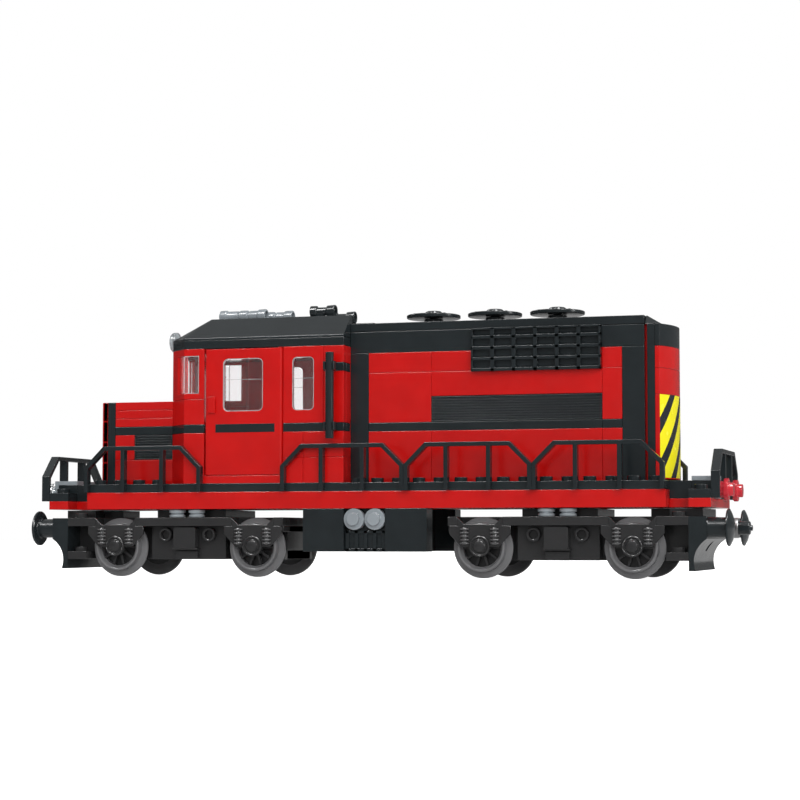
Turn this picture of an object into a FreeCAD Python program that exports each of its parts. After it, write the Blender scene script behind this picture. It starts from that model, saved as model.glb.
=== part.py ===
import FreeCAD, Part
import math
import os
import Sketcher

# A toy diesel locomotive built from studded bricks, in millimetres.
# +X runs from the cab end to the hood end, +Z is up, and the origin lies at rail
# level in the middle of the locomotive, where the wheel flanges reach lowest.

os.makedirs("parts", exist_ok=True)
doc = FreeCAD.newDocument("Locomotive")
sheet = doc.addObject("Spreadsheet::Sheet", "Dimensions")
Vector = FreeCAD.Vector


class Size(float):
    """A length that also knows the spreadsheet formula it comes from."""

    def __new__(cls, value, formula):
        size = super().__new__(cls, value)
        size.formula = formula
        return size

    def __add__(self, other):
        return Size(float(self) + float(other), f"({self.formula} + {formula_of(other)})")

    def __radd__(self, other):
        return Size(float(other) + float(self), f"({formula_of(other)} + {self.formula})")

    def __sub__(self, other):
        return Size(float(self) - float(other), f"({self.formula} - {formula_of(other)})")

    def __rsub__(self, other):
        return Size(float(other) - float(self), f"({formula_of(other)} - {self.formula})")

    def __mul__(self, other):
        return Size(float(self) * float(other), f"({self.formula} * {formula_of(other)})")

    def __rmul__(self, other):
        return Size(float(other) * float(self), f"({formula_of(other)} * {self.formula})")

    def __truediv__(self, other):
        return Size(float(self) / float(other), f"({self.formula} / {formula_of(other)})")

    def __neg__(self):
        return Size(-float(self), f"(-1 * {self.formula})")


def formula_of(number):
    """The formula of a Size, or a plain number written out."""
    return number.formula if isinstance(number, Size) else f"({float(number):.6g})"


def driving_dimension(alias, value, meaning):
    """Put one driving dimension in the spreadsheet and return it as a Size."""
    row = driving_dimension.next_row
    driving_dimension.next_row += 1
    sheet.set(f"A{row}", meaning)
    sheet.set(f"B{row}", str(value))
    sheet.setAlias(f"B{row}", alias)
    return Size(value, f"Dimensions.{alias}")


driving_dimension.next_row = 1

# ---- driving dimensions: the brick grid -------------------------------------------
pitch = driving_dimension("stud_pitch", 8.0, "distance from stud to stud")
plate = driving_dimension("plate_height", 3.2, "height of one plate")
stud_radius = driving_dimension("stud_radius", 2.4, "radius of a stud")
stud_height = driving_dimension("stud_height", 1.7, "height of a stud")
wall = driving_dimension("wall_thickness", 3.2, "thickness of the cab and hood walls")
inlay = driving_dimension("inlay_depth", 1.2, "depth of the stripes let into the walls")
# ---- driving dimensions: chassis -----------------------------------------------------
base_low = driving_dimension("base_low", 25.6, "height of the red base's underside")
half_width = driving_dimension("half_width", 24.0, "half the width of the base and cab")
hood_half = driving_dimension("hood_half_width", 16.0, "half the width of both hoods")
main_half = driving_dimension("main_half_length", 112.0, "half the length of the thick base")
end_half = driving_dimension("end_half_length", 128.0, "half the length of the whole base")
rail_depth = driving_dimension("railing_depth", 3.2, "how far a railing stands out")
rail_bar = driving_dimension("railing_bar", 1.6, "width of a railing's bars")
rail_height = driving_dimension("railing_height", 17.6, "height of a railing")
# ---- driving dimensions: superstructure -----------------------------------------------
short_top = driving_dimension("short_hood_top", 67.2, "height of the short hood's top")
cab_top = driving_dimension("cab_wall_top", 86.4, "height of the cab walls")
eaves = driving_dimension("roof_eaves", 90.4, "height where the roof starts to slope")
ridge = driving_dimension("roof_top", 98.4, "height of the ridges round the cab roof's top")
roof_floor = driving_dimension("roof_floor", 93.6, "height of the cab roof's sunken middle")
beam_low = driving_dimension("beam_low", 83.8, "underside of the long hood's top beam")
beam_top = driving_dimension("beam_top", 91.8, "top of the long hood's beam")
hood_top = driving_dimension("hood_top", 95.0, "top of the long hood's roof")
panel_start = driving_dimension("panel_start", 0.8, "overhang of the red side panels at the cab")
# ---- driving dimensions: running gear -------------------------------------------------
bogie_x = driving_dimension("bogie_distance", 72.0, "distance of a bogie pivot from the middle")
axle_x = driving_dimension("half_wheelbase", 28.0, "distance of an axle from its bogie's pivot")
axle_z = driving_dimension("axle_height", 11.2, "height of the axles, the flange radius")
tread_radius = driving_dimension("tread_radius", 8.9, "radius of the wheel treads")
axle_radius = driving_dimension("axle_radius", 1.6, "radius of the steel axles")
running_gap = driving_dimension("running_gap", 0.05, "radial clearance of shafts in their holes")
swing_gap = driving_dimension("swing_gap", 0.3, "clearance between parts that swing past")
pin_radius = driving_dimension("king_pin_radius", 3.95, "radius of the bogies' king pins")
gear_module = driving_dimension("gear_module", 0.5, "module of the drive gears")
pinion_teeth = driving_dimension("pinion_teeth", 16, "teeth of the motor pinion")
wheel_teeth = driving_dimension("axle_gear_teeth", 24, "teeth of the driven axle's gear")
pinion_rise = driving_dimension("pinion_rise", 1.6, "height of the pinion above the driven axle")
doc.recompute()

# ---- heights that several parts share ---------------------------------------------------
step_top = base_low + plate
base_top = base_low + 2 * plate
deck_top = base_low + 3 * plate
stripe_low = deck_top + 6 * plate
stripe_top = stripe_low + plate
frame_low = base_low - 2 * plate
frame_top = base_low - plate
SIDES = (-1, 1)


# ---- building helpers -------------------------------------------------------------------
def bind(thing, path, number):
    """Tie a property to the spreadsheet."""
    thing.setExpression(path, formula_of(number))


def place(thing, x=0, y=0, z=0, axis=None, spin=0.0):
    """Put a thing at x, y, z, its own +Z turned towards axis, spun about it in degrees."""
    if axis is not None:
        turn = FreeCAD.Rotation(Vector(0, 0, 1), Vector(*axis))
        about = FreeCAD.Rotation(Vector(0, 0, 1), spin)
        thing.Placement = FreeCAD.Placement(Vector(0, 0, 0), turn * about)
    for letter, number in (("x", x), ("y", y), ("z", z)):
        bind(thing, f"Placement.Base.{letter}", number)
    return thing


def box(xs, ys, zs, name="Block"):
    """A block between two values along each axis, given in any order."""
    block = doc.addObject("Part::Box", name)
    lows = [min(pair, key=float) for pair in (xs, ys, zs)]
    highs = [max(pair, key=float) for pair in (xs, ys, zs)]
    for side, low, high in zip(("Length", "Width", "Height"), lows, highs):
        bind(block, side, high - low)
    return place(block, *lows)


def rod(start, axis, radius, length, name="Rod"):
    """A cylinder from a start point, along an axis."""
    cylinder = doc.addObject("Part::Cylinder", name)
    bind(cylinder, "Radius", radius)
    bind(cylinder, "Height", length)
    return place(cylinder, *start, axis=axis)


def union(parts, name="Union"):
    """One solid from overlapping or touching parts."""
    fused = doc.addObject("Part::MultiFuse", name)
    fused.Shapes = parts
    fused.Refine = True
    return fused


def group(parts, name="Group"):
    """Separate solids kept together."""
    compound = doc.addObject("Part::Compound", name)
    compound.Links = parts
    return compound


def cut(base, tools, name="Cut"):
    """A base with one tool or a list of tools taken away."""
    result = doc.addObject("Part::Cut", name)
    result.Base = base
    result.Tool = group(tools, "Tools") if isinstance(tools, list) else tools
    return result


def origin_plane(body, role):
    """The named plane of a body's own origin."""
    return next(feature for feature in body.Origin.OriginFeatures if feature.Role == role)


def flat(corner):
    """A corner of an outline as a plain vector."""
    return Vector(float(corner[0]), float(corner[1]), 0)


def arc_edge(start, through, end):
    """An anticlockwise arc through three points, and which of its ends is the start."""
    middle = Part.Arc(start, through, end).toShape().Curve
    angles = [math.atan2(point.y - middle.Center.y, point.x - middle.Center.x)
              for point in (start, end)]
    anticlockwise = (through - start).cross(end - through).z > 0
    if not anticlockwise:
        angles.reverse()
    circle = Part.Circle(middle.Center, Vector(0, 0, 1), middle.Radius)
    return Part.ArcOfCircle(circle, angles[0], angles[1]), 1 if anticlockwise else 2


def sketch_outline(sketch, outline):
    """Draw a closed outline; a corner's third entry is a point that an arc to the next
    corner passes through. Every corner is dimensioned from the spreadsheet."""
    first_ends = []
    for index, corner in enumerate(outline):
        start, end = flat(corner), flat(outline[(index + 1) % len(outline)])
        first = 1
        if len(corner) == 3:
            edge, first = arc_edge(start, flat(corner[2]), end)
        else:
            edge = Part.LineSegment(start, end)
        sketch.addGeometry(edge)
        first_ends.append(first)
    for index, corner in enumerate(outline):
        before = (index - 1) % len(outline)
        sketch.addConstraint(Sketcher.Constraint("Coincident", before, 3 - first_ends[before],
                                                 index, first_ends[index]))
        for kind, number in (("DistanceX", corner[0]), ("DistanceY", corner[1])):
            constraint = sketch.addConstraint(
                Sketcher.Constraint(kind, index, first_ends[index], float(number)))
            sketch.setExpression(f"Constraints[{constraint}]", formula_of(number))
        if len(corner) == 3:
            radius = sketch.Geometry[index].Radius
            sketch.addConstraint(Sketcher.Constraint("Radius", index, radius))


def profile_body(name, role, outline):
    """A body with one sketch on one of its origin planes."""
    body = doc.addObject("PartDesign::Body", name)
    sketch = body.newObject("Sketcher::SketchObject", name + "_outline")
    sketch.AttachmentSupport = (origin_plane(body, role), "")
    sketch.MapMode = "FlatFace"
    sketch_outline(sketch, outline)
    return body, sketch


def extruded(name, role, outline, depth):
    """A padded outline: along -Y from the XZ plane, +X from YZ, +Z from XY."""
    body, sketch = profile_body(name, role, outline)
    pad = body.newObject("PartDesign::Pad", name + "_pad")
    pad.Profile = sketch
    bind(pad, "Length", depth)
    return body


def turned(name, outline):
    """A turned part; the outline holds (radius, height) pairs and turns about its own Z."""
    body, sketch = profile_body(name, "XZ_Plane", outline)
    revolution = body.newObject("PartDesign::Revolution", name + "_turn")
    revolution.Profile = sketch
    revolution.ReferenceAxis = (sketch, ["V_Axis"])
    revolution.Angle = 360
    return body


nodes = []


def node(name, thing):
    """Keep a finished sub-part under its own name."""
    thing.Label = name
    nodes.append(thing)
    return thing


def mirrored_pairs(low, high):
    """The same stretch on the -Y side and on the +Y side."""
    return [(side * low, side * high) for side in SIDES]


# ---- chassis ----------------------------------------------------------------------------
def base_plate():
    """Red underframe: two plates thick, with a thin stepped end at each end."""
    solids = [box((-main_half, main_half), (-half_width, half_width), (base_low, base_top))]
    for end in SIDES:
        notch = end * (main_half + pitch)
        solids.append(box((end * main_half, notch), (-hood_half, hood_half), (base_low, step_top)))
        solids.append(box((notch, end * end_half), (-half_width, half_width), (base_low, step_top)))
    skin = plate / 2
    rooms = [(-main_half + skin, -bogie_x - pitch), (-bogie_x + pitch, -3 * pitch - skin),
             (-3 * pitch + skin, 3 * pitch - skin), (3 * pitch + skin, bogie_x - pitch),
             (bogie_x + pitch, main_half - skin)]
    inside = half_width - skin
    tools = [box(room, (-inside, inside), (base_low - skin, base_top - skin)) for room in rooms]
    bore = pin_radius + running_gap
    head_room = pin_radius + skin + 2 * swing_gap
    for end in SIDES:
        tools.append(rod((end * bogie_x, 0, base_low - skin), (0, 0, 1), bore, 3 * plate))
        tools.append(rod((end * bogie_x, 0, step_top + skin), (0, 0, 1), head_room, 2 * plate))
    node("base_plate", cut(union(solids), tools))


def deck_plate():
    """Black walkway plate with a row of studs along both edges of the walkways."""
    solids = [box((-main_half, main_half), (-half_width, half_width), (base_top, deck_top))]
    places = [column + 0.5 for column in range(-14, 14) if not -10 <= column < -1]
    for column in places:
        for side in SIDES:
            foot = (column * pitch, side * 2.5 * pitch, deck_top)
            solids.append(rod(foot, (0, 0, 1), stud_radius, stud_height))
    node("deck_plate", union(solids))


def end_decks():
    """Black stepped plates on the two thin ends of the base."""
    decks = []
    for end in SIDES:
        notch = end * (main_half + pitch)
        solids = [box((end * main_half, notch), (-hood_half, hood_half), (step_top, deck_top)),
                  box((notch, end * end_half), (-half_width, half_width), (step_top, base_top)),
                  box((notch, end * end_half), (-hood_half, hood_half), (base_top, deck_top))]
        for side in SIDES:
            foot = (end * (main_half + 1.5 * pitch), side * 2.5 * pitch, base_top)
            solids.append(rod(foot, (0, 0, 1), stud_radius, stud_height))
        decks.append(union(solids))
    node("end_decks", group(decks))


def lamps():
    """Grey brackets over the end decks, each carrying two round lamps."""
    brackets = []
    leg_in, leg_out = pitch + rail_bar / 2 + 0.2, 2 * pitch - 0.1
    for end, name in ((-1, "clear_lamps"), (1, "red_lamps")):
        face = end * end_half
        shelf = (end * (main_half + pitch), face)
        half_plate = plate / 2
        solids = [box(shelf, (-hood_half, hood_half), (deck_top, deck_top + half_plate))]
        pair = []
        for side in SIDES:
            leg = (side * leg_in, side * leg_out)
            solids.append(box((face, face + end * half_plate), leg,
                              (step_top, deck_top + half_plate)))
            stud = (face + end * half_plate, side * 1.5 * pitch, base_top)
            solids.append(rod(stud, (end, 0, 0), stud_radius, half_plate))
            middle = (face + end * plate, side * 1.5 * pitch, base_top)
            front = (face + end * 1.5 * plate, side * 1.5 * pitch, base_top)
            lens = union([rod(stud, (end, 0, 0), 3.0, half_plate),
                          rod(middle, (end, 0, 0), pitch / 2 - 0.05, half_plate),
                          rod(front, (end, 0, 0), stud_radius, stud_height)])
            pair.append(cut(lens, rod(stud, (end, 0, 0), stud_radius, half_plate)))
        brackets.append(union(solids))
        node(name, group(pair))
    node("lamp_brackets", group(brackets))


def railing_outline():
    """Six studs long: a bar on four posts, with its top corners cut at 45 degrees."""
    half = 3 * pitch
    shoulder = rail_height - pitch
    inner = half - rail_bar
    inner_top = rail_height - rail_bar
    corner = rail_bar * math.tan(math.radians(22.5))
    post, other = pitch + rail_bar / 2, pitch - rail_bar / 2
    right = [(half, 0), (inner, 0), (inner, shoulder - corner), (2 * pitch - corner, inner_top),
             (post, inner_top), (post, 0), (other, 0), (other, inner_top)]
    left = [(-across, height) for across, height in reversed(right)]
    top = [(-half, shoulder), (-2 * pitch, rail_height), (2 * pitch, rail_height), (half, shoulder)]
    return right + left + top


def railings():
    """Black railings along both walkways and across both ends."""
    outline = railing_outline()
    along = []
    for side in SIDES:
        for index, middle in enumerate((-11, -1, 5, 11)):
            rail = extruded(f"Side_railing_{index}_{side + 1}", "XZ_Plane", outline, rail_depth)
            outer = half_width + rail_depth if side > 0 else -half_width
            along.append(place(rail, middle * pitch, outer, base_top))
    node("side_railings", group(along))
    across = []
    for end in SIDES:
        rail = extruded(f"End_railing_{end + 1}", "YZ_Plane", outline, rail_depth)
        inner = end_half if end > 0 else -(end_half + rail_depth)
        across.append(place(rail, inner, 0, step_top))
    node("end_railings", group(across))


def underframe():
    """Black equipment tank between the bogies, with round caps and slotted grilles."""
    tank_low = base_low - 5 * plate
    recess = half_width - plate
    slabs = [box((-3 * pitch, 3 * pitch), span, (tank_low, base_low))
             for span in mirrored_pairs(hood_half, half_width)]
    core = box((-2 * pitch, 2 * pitch), (-hood_half, hood_half), (tank_low, base_low))
    windows = [box((-pitch, pitch), span, (tank_low, base_low))
               for span in mirrored_pairs(recess, half_width)]
    caps, grilles = [], []
    cap_height = base_low - pitch / 2
    for side in SIDES:
        for column in SIDES:
            back = (column * pitch / 2, side * recess, cap_height)
            front = (column * pitch / 2, side * half_width, cap_height)
            caps.append(union([rod(back, (0, side, 0), pitch / 2 - 0.05, plate),
                               rod(front, (0, side, 0), stud_radius, stud_height)]))
        sheet_span = (side * recess, side * (recess + plate / 2))
        slot_span = (side * (recess + plate / 4), side * (recess + plate))
        grille = box((-pitch + 0.1, pitch - 0.1), sheet_span, (tank_low + 0.2, base_low - pitch - 0.2))
        slots = [box((column * pitch / 2 - 1.1, column * pitch / 2 + 1.1), slot_span,
                     (tank_low + 1.2, base_low - pitch - 1.2)) for column in (-1.3, -0.45, 0.45, 1.3)]
        grilles.append(cut(grille, slots))
    node("grey_round_plates", group(caps))
    node("underframe_tank", group([cut(union(slabs + [core]), windows)] + grilles))


# ---- short hood -------------------------------------------------------------------------
def grille_panel(xs, zs, y_outer, side, depth):
    """A panel with ten level grooves to each brick of height."""
    rib = 3 * plate / 10
    panel = box(xs, (y_outer, y_outer - side * depth), zs)
    low = min(zs, key=float)
    groove_x = (min(xs, key=float) + 0.4, max(xs, key=float) - 0.4)
    grooves = [box(groove_x, (y_outer, y_outer - side * 0.7),
                   (low + (row + 0.3) * rib, low + (row + 0.7) * rib)) for row in range(10)]
    return cut(panel, grooves)


def short_hood():
    """Red shell ahead of the cab, with a black end plate, stripes and ribbed grilles."""
    front, back = -13 * pitch, -10 * pitch
    skin = 0.75 * wall
    shell = box((front, back), (-hood_half, hood_half), (deck_top, short_top))
    room = box((front + skin, back), (-hood_half + skin, hood_half - skin),
               (deck_top - plate, short_top - skin))
    grille_z = (deck_top + 3 * plate, stripe_low)
    stripes, openings = [], [room]
    for side in SIDES:
        outer = side * hood_half
        inner = side * (hood_half - inlay)
        stripes.append(box((front, back), (inner, outer), (stripe_low, stripe_top)))
        openings.append(box((front, back), (inner, outer), (stripe_low, stripe_top)))
        openings.append(box((back - 2 * pitch, back), (inner, outer), grille_z))
    node("short_hood", cut(shell, openings))
    end_plate = box((front - plate, front), (-hood_half, hood_half), (deck_top, short_top))
    node("short_hood_trim", group([end_plate] + stripes))


# ---- cab --------------------------------------------------------------------------------
cab_front = -10 * pitch
cab_back = -pitch
door_front = -8 * pitch
door_back = -4 * pitch
clip_low = deck_top + 13 * plate


def cab_outline(inset):
    """Plan of the cab, with its two front corners cut off, moved in by inset."""
    front, back, side = cab_front + inset, cab_back - inset, half_width - inset
    cheek = pitch - inset * (2 - math.sqrt(2))
    return [(back, -side), (back, side), (front + cheek, side), (front, side - cheek),
            (front, cheek - side), (front + cheek, -side)]


def cab_prism(name, inset, low, high):
    """The cab's plan between two heights."""
    return place(extruded(name, "XY_Plane", cab_outline(inset), high - low), 0, 0, low)


def cab_walls():
    """Red cab shell with windows, door openings and a black stripe let in all round."""
    outer = cab_prism("Cab_outside", 0, deck_top, cab_top)
    inner = cab_prism("Cab_inside", wall, deck_top - plate, cab_top + plate)
    band_outer = cab_prism("Band_outside", -plate, stripe_low, stripe_top)
    band_inner = cab_prism("Band_inside", inlay, stripe_low - plate, stripe_top + plate)
    band = cut(band_outer, band_inner)
    leaf_low, leaf_top = deck_top + plate - 0.2, cab_top - 0.8
    door_x = (door_front + 0.6, door_back)
    hinge_x = door_back - 1.4
    hinge_y = half_width - 1.2
    glass_low, glass_top = deck_top + 27.2, deck_top + 47.2
    shed_low, shed_top = deck_top + 34.2, deck_top + 48.6
    hood_mouth = box((cab_front - pitch, cab_front + wall), (-hood_half + wall, hood_half - wall),
                     (deck_top - plate, short_top - wall))
    openings = [inner, band, hood_mouth]
    for side in SIDES:
        beyond = (side * (half_width - 1.5 * wall), side * (half_width + plate))
        openings.append(box(door_x, beyond, (leaf_low, leaf_top)))
        openings.append(box((-28.4, -19.8), beyond, (glass_low, glass_top)))
        corner_y = (side * (half_width - 4.5), side * (half_width + plate))
        openings.append(box((-76.5, -66), corner_y, (shed_low, shed_top)))
        openings.append(rod((hinge_x, side * hinge_y, leaf_low - 1.2), (0, 0, 1),
                            0.9 + running_gap, leaf_top - leaf_low + 1.8))
        openings.append(box((cab_front - plate, cab_front + 1.5 * wall), (side * 1.6, side * 14),
                            (shed_low, shed_top)))
        openings += clip_plate(side)
    shell = cut(outer, openings)
    node("cab_walls", shell)
    stripe_outer = cab_prism("Stripe_outside", 0, stripe_low, stripe_top)
    stripe_inner = cab_prism("Stripe_inside", inlay, stripe_low - plate, stripe_top + plate)
    gaps = [stripe_inner]
    for side in SIDES:
        gaps.append(box(door_x, (side * (half_width - 2 * wall), side * (half_width + plate)),
                        (stripe_low - plate, stripe_top + plate)))
    gaps.append(box((cab_front - plate, cab_front + 2 * inlay), (-hood_half, hood_half),
                    (stripe_low - plate, stripe_top + plate)))
    gaps.append(box((cab_back - inlay, cab_back + plate), (-hood_half, hood_half),
                    (stripe_low - plate, stripe_top + plate)))
    node("cab_trim", cut(stripe_outer, gaps))


def cab_glazing():
    """Clear panes: side windows, angled corner windows and two windscreens."""
    panes = []
    thick = 1.0
    set_in = half_width - 2.2
    glass_low, glass_top = deck_top + 27.2, deck_top + 47.2
    shed_low, shed_top = deck_top + 34.2, deck_top + 48.6
    for side in SIDES:
        panes.append(box((-28.4, -19.8), (side * set_in, side * (set_in + thick)),
                         (glass_low, glass_top)))
        panes.append(box((cab_front + 1.2, cab_front + 1.2 + thick), (side * 1.6, side * 14),
                         (shed_low, shed_top)))
        bent = [(-66.1, 22.3), (-71.3, 22.3), (-74.0, 19.6), (-75.7, 19.6), (-71.8, 23.5),
                (-66.1, 23.5)]
        outline = [(along, side * across) for along, across in bent]
        corner = extruded(f"Corner_pane_{side + 1}", "XY_Plane", outline, shed_top - shed_low)
        panes.append(place(corner, 0, 0, shed_low))
    node("cab_glazing", group(panes))


def cab_doors():
    """Two doors, each hinged at its rear edge on two pins, with a handle and a window."""
    leaf_low, leaf_top = deck_top + plate, cab_top - 1.0
    hinge_x, thick = door_back - 1.4, 2.4
    glass = ((-56.2, -40.1), (deck_top + 27.2, deck_top + 47.2))
    for side, name in ((-1, "right"), (1, "left")):
        outer, inner = side * half_width, side * (half_width - thick)
        middle = (hinge_x, side * (half_width - thick / 2), leaf_low)
        leaf = box((door_front + 0.9, hinge_x), (inner, outer), (leaf_low, leaf_top))
        edge = rod(middle, (0, 0, 1), thick / 2, leaf_top - leaf_low)
        pin = rod((middle[0], middle[1], leaf_low - 1.0), (0, 0, 1), 0.9,
                  leaf_top - leaf_low + 1.6)
        handle = box((-62, -59), (outer, outer + side * 1.2), (deck_top + 26.6, deck_top + 32.8))
        stripe = box((-59.1, -35.3), (outer, outer + side * 0.2), (stripe_low, stripe_top))
        window = box(glass[0], (inner - side, outer + side), glass[1])
        node(f"{name}_cab_door", cut(union([leaf, edge, pin, handle, stripe]), window))
        pane_y = (inner + side * 0.6, inner + side * 1.6)
        node(f"{name}_door_glazing", box(glass[0], pane_y, glass[1]))


def clip_plate(side):
    """The plate of an upper handrail clip where it passes through the cab's rear corner."""
    height = (clip_low, clip_low + plate)
    return [box((cab_back - pitch, cab_back), (side * (half_width - wall), side * half_width), height),
            box((cab_back - wall, cab_back), (side * hood_half, side * (half_width - wall)), height)]


def handrails():
    """Upright handrails behind the doors, each held by two clips."""
    rails = []
    rail_x, stand_off = -1.5 * pitch, 4.6
    for side in SIDES:
        bar_y = side * (half_width + stand_off)
        rails.append(rod((rail_x, bar_y, 51.4), (0, 0, 1), plate / 2, 4 * pitch))
        for low in (stripe_low, clip_low):
            arm = box((rail_x - 1.8, rail_x + 1.8),
                      (side * half_width, side * (half_width + stand_off)), (low, low + plate))
            ring = rod((rail_x, bar_y, low), (0, 0, 1), 2.5, plate)
            bore = rod((rail_x, bar_y, low - plate), (0, 0, 1), plate / 2, 3 * plate)
            clip = cut(union([arm, ring]), bore)
            if low is clip_low:
                clip = union([clip] + clip_plate(side))
            rails.append(clip)
    node("cab_handrails", group(rails))


def cab_roof():
    """Lift-off roof: a plate, slopes on three sides, a sunken middle and a lamp mount."""
    slab = cab_prism("Roof_slab", 0, cab_top, eaves)
    locating = cab_prism("Roof_lip", wall + 0.2, cab_top - plate / 2, cab_top)
    low_corners = [Vector(float(x), float(y), float(eaves)) for x, y in cab_outline(0)]
    top_front = float(cab_front + 2 * pitch)
    top_side = float(half_width - pitch)
    back, top, rim = float(cab_back), float(ridge), 0.75 * float(wall)
    high = [Vector(back, -top_side, top), Vector(back, top_side, top),
            Vector(top_front, top_side, top), Vector(top_front, -top_side, top)]
    rear_low, rear_far, cheek_far, nose_far, nose_low, cheek_low = low_corners
    rear_high, far_high, far_front, near_front = high
    loops = [low_corners, high, [rear_low, rear_far, far_high, rear_high],
             [rear_far, cheek_far, far_front, far_high], [cheek_far, nose_far, far_front],
             [nose_far, nose_low, near_front, far_front], [nose_low, cheek_low, near_front],
             [cheek_low, rear_low, rear_high, near_front]]
    faces = [Part.Face(Part.makePolygon(loop + [loop[0]])) for loop in loops]
    slopes = doc.addObject("Part::Feature", "Roof_slopes")
    slopes.Shape = Part.makeSolid(Part.makeShell(faces))
    mount = box((cab_front - 5.1, cab_front + pitch), (-pitch / 4, pitch / 4), (90.6, 92.8))
    sunken = box((top_front + rim, cab_back + plate), (-top_side + rim, top_side - rim),
                 (roof_floor, ridge + plate))
    node("cab_roof", cut(union([slab, locating, slopes, mount]), sunken))
    disc = rod((cab_front - 5.1 - plate, 0, 91.4), (1, 0, 0), pitch / 2 - 0.05, plate)
    node("roof_lamp", disc)


def horns():
    """Horns lying along the roof: grey ones ahead, shorter black ones behind."""
    grey = [(-65.1, -4, 19.1), (-57.1, 4, 19.1)]
    black = [(-25.2, -12, 10.1), (-25.2, 12, 10.1)]
    for name, horns_here, inboard in (("grey_horns", grey, 8.5), ("black_horns", black, 2.5)):
        made = []
        for index, (start, across, length) in enumerate(horns_here):
            outline = [(0, 0), (1.9, 0), (2, 0.2 * length), (1.5, 0.25 * length),
                       (1.3, 0.7 * length), (2.1, length), (1.5, length), (0.9, 0.75 * length),
                       (0, 0.75 * length)]
            horn = turned(f"{name}_{index}", outline)
            horn.Placement = FreeCAD.Placement(
                Vector(0, 0, 0), FreeCAD.Rotation(Vector(0, 1, 0), 90))
            for letter, number in (("x", start), ("y", across), ("z", ridge + 2.1)):
                bind(horn, f"Placement.Base.{letter}", number)
            foot = box((start + inboard, start + inboard + 3), (across - 1.2, across + 1.2),
                       (roof_floor, ridge + 1.4))
            made.append(union([horn, foot]))
        node(name, group(made))


# ---- long hood --------------------------------------------------------------------------
hood_front = -pitch
hood_back = 13 * pitch - 0.6
panel_x = (-panel_start, 12 * pitch - panel_start)
gap_back = 13 * pitch + 0.6
nose_x = 13 * pitch + plate


def long_hood():
    """Black portal frame with red side panels, stripes, ribbed and radiator grilles."""
    frame = box((hood_front, hood_back), (-hood_half, hood_half), (deck_top, beam_top))
    room = box((hood_front + wall, hood_back - wall), (-hood_half + wall, hood_half - wall),
               (deck_top - plate, beam_top + plate))
    sides = box(panel_x, (-half_width, half_width), (deck_top, beam_low))
    trims = [cut(frame, [room, sides])]
    panels, ribbed, radiators = [], [], []
    grille_x = (3 * pitch, 11 * pitch)
    grille_z = (stripe_top, stripe_top + 3 * plate)
    short_x = (-12 * pitch, -10 * pitch)
    short_z = (deck_top + 3 * plate, stripe_low)
    for side in SIDES:
        outer, inner = side * hood_half, side * (hood_half - wall)
        shallow = side * (hood_half - inlay)
        panel = box(panel_x, (inner, outer), (deck_top, beam_low))
        stripe = box(panel_x, (shallow, outer), (stripe_low, stripe_top))
        stripe_room = box(panel_x, (shallow, outer), (stripe_low, stripe_top))
        grille_room = box(grille_x, (inner, outer), grille_z)
        panels.append(cut(panel, [stripe_room, grille_room]))
        trims.append(stripe)
        ribbed.append(grille_panel(grille_x, grille_z, outer, side, wall))
        ribbed.append(grille_panel(short_x, short_z, outer, side, inlay))
        radiators.append(radiator_grille(side))
    filler = box((hood_back, gap_back), (-hood_half + inlay, hood_half - inlay), (deck_top, beam_top))
    panels.append(filler)
    trims.append(box((gap_back, nose_x), (-hood_half, hood_half), (deck_top, beam_top)))
    trims.append(nose_block(beam_low, beam_top))
    node("hood_walls", group(panels))
    node("hood_trim", group(trims))
    node("ribbed_grilles", group(ribbed))
    node("radiator_grilles", group(radiators))


def radiator_grille(side):
    """A raised panel with four rows of six pockets between slender bars."""
    left, right, depth, columns, rows = 39.4, 87.8, 2.6, 6, 4
    low, high = beam_low - pitch, beam_top
    outer = side * (hood_half + depth)
    panel = box((left, right), (side * hood_half, outer), (low, high))
    cell_wide, cell_high, bar_x, bar_z = (right - left) / columns, 2 * pitch / rows, 0.75, 0.6
    pockets = []
    for column in range(columns):
        for row in range(rows):
            x = (left + column * cell_wide + bar_x, left + (column + 1) * cell_wide - bar_x)
            z = (low + row * cell_high + bar_z, low + (row + 1) * cell_high - bar_z)
            pockets.append(box(x, (outer, outer - side * 1.8), z))
    return cut(panel, pockets)


def nose_outline(inset, end=1):
    """Plan of the bowed nose: square tips two millimetres thick, then one shallow arc."""
    tip, bow, half = 2.0 - inset, 6.4 - inset, float(hood_half)
    return [(0, -half), (end * tip, -half, (end * bow, 0)), (end * tip, half), (0, half)]


def nose_block(low, high, end=1):
    """One bowed nose between two heights, at the hood end or at the cab end."""
    name = f"Nose_{end + 1}_{float(low):.0f}"
    block = extruded(name, "XY_Plane", nose_outline(0, end), high - low)
    return place(block, end * nose_x, 0, low)


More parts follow.
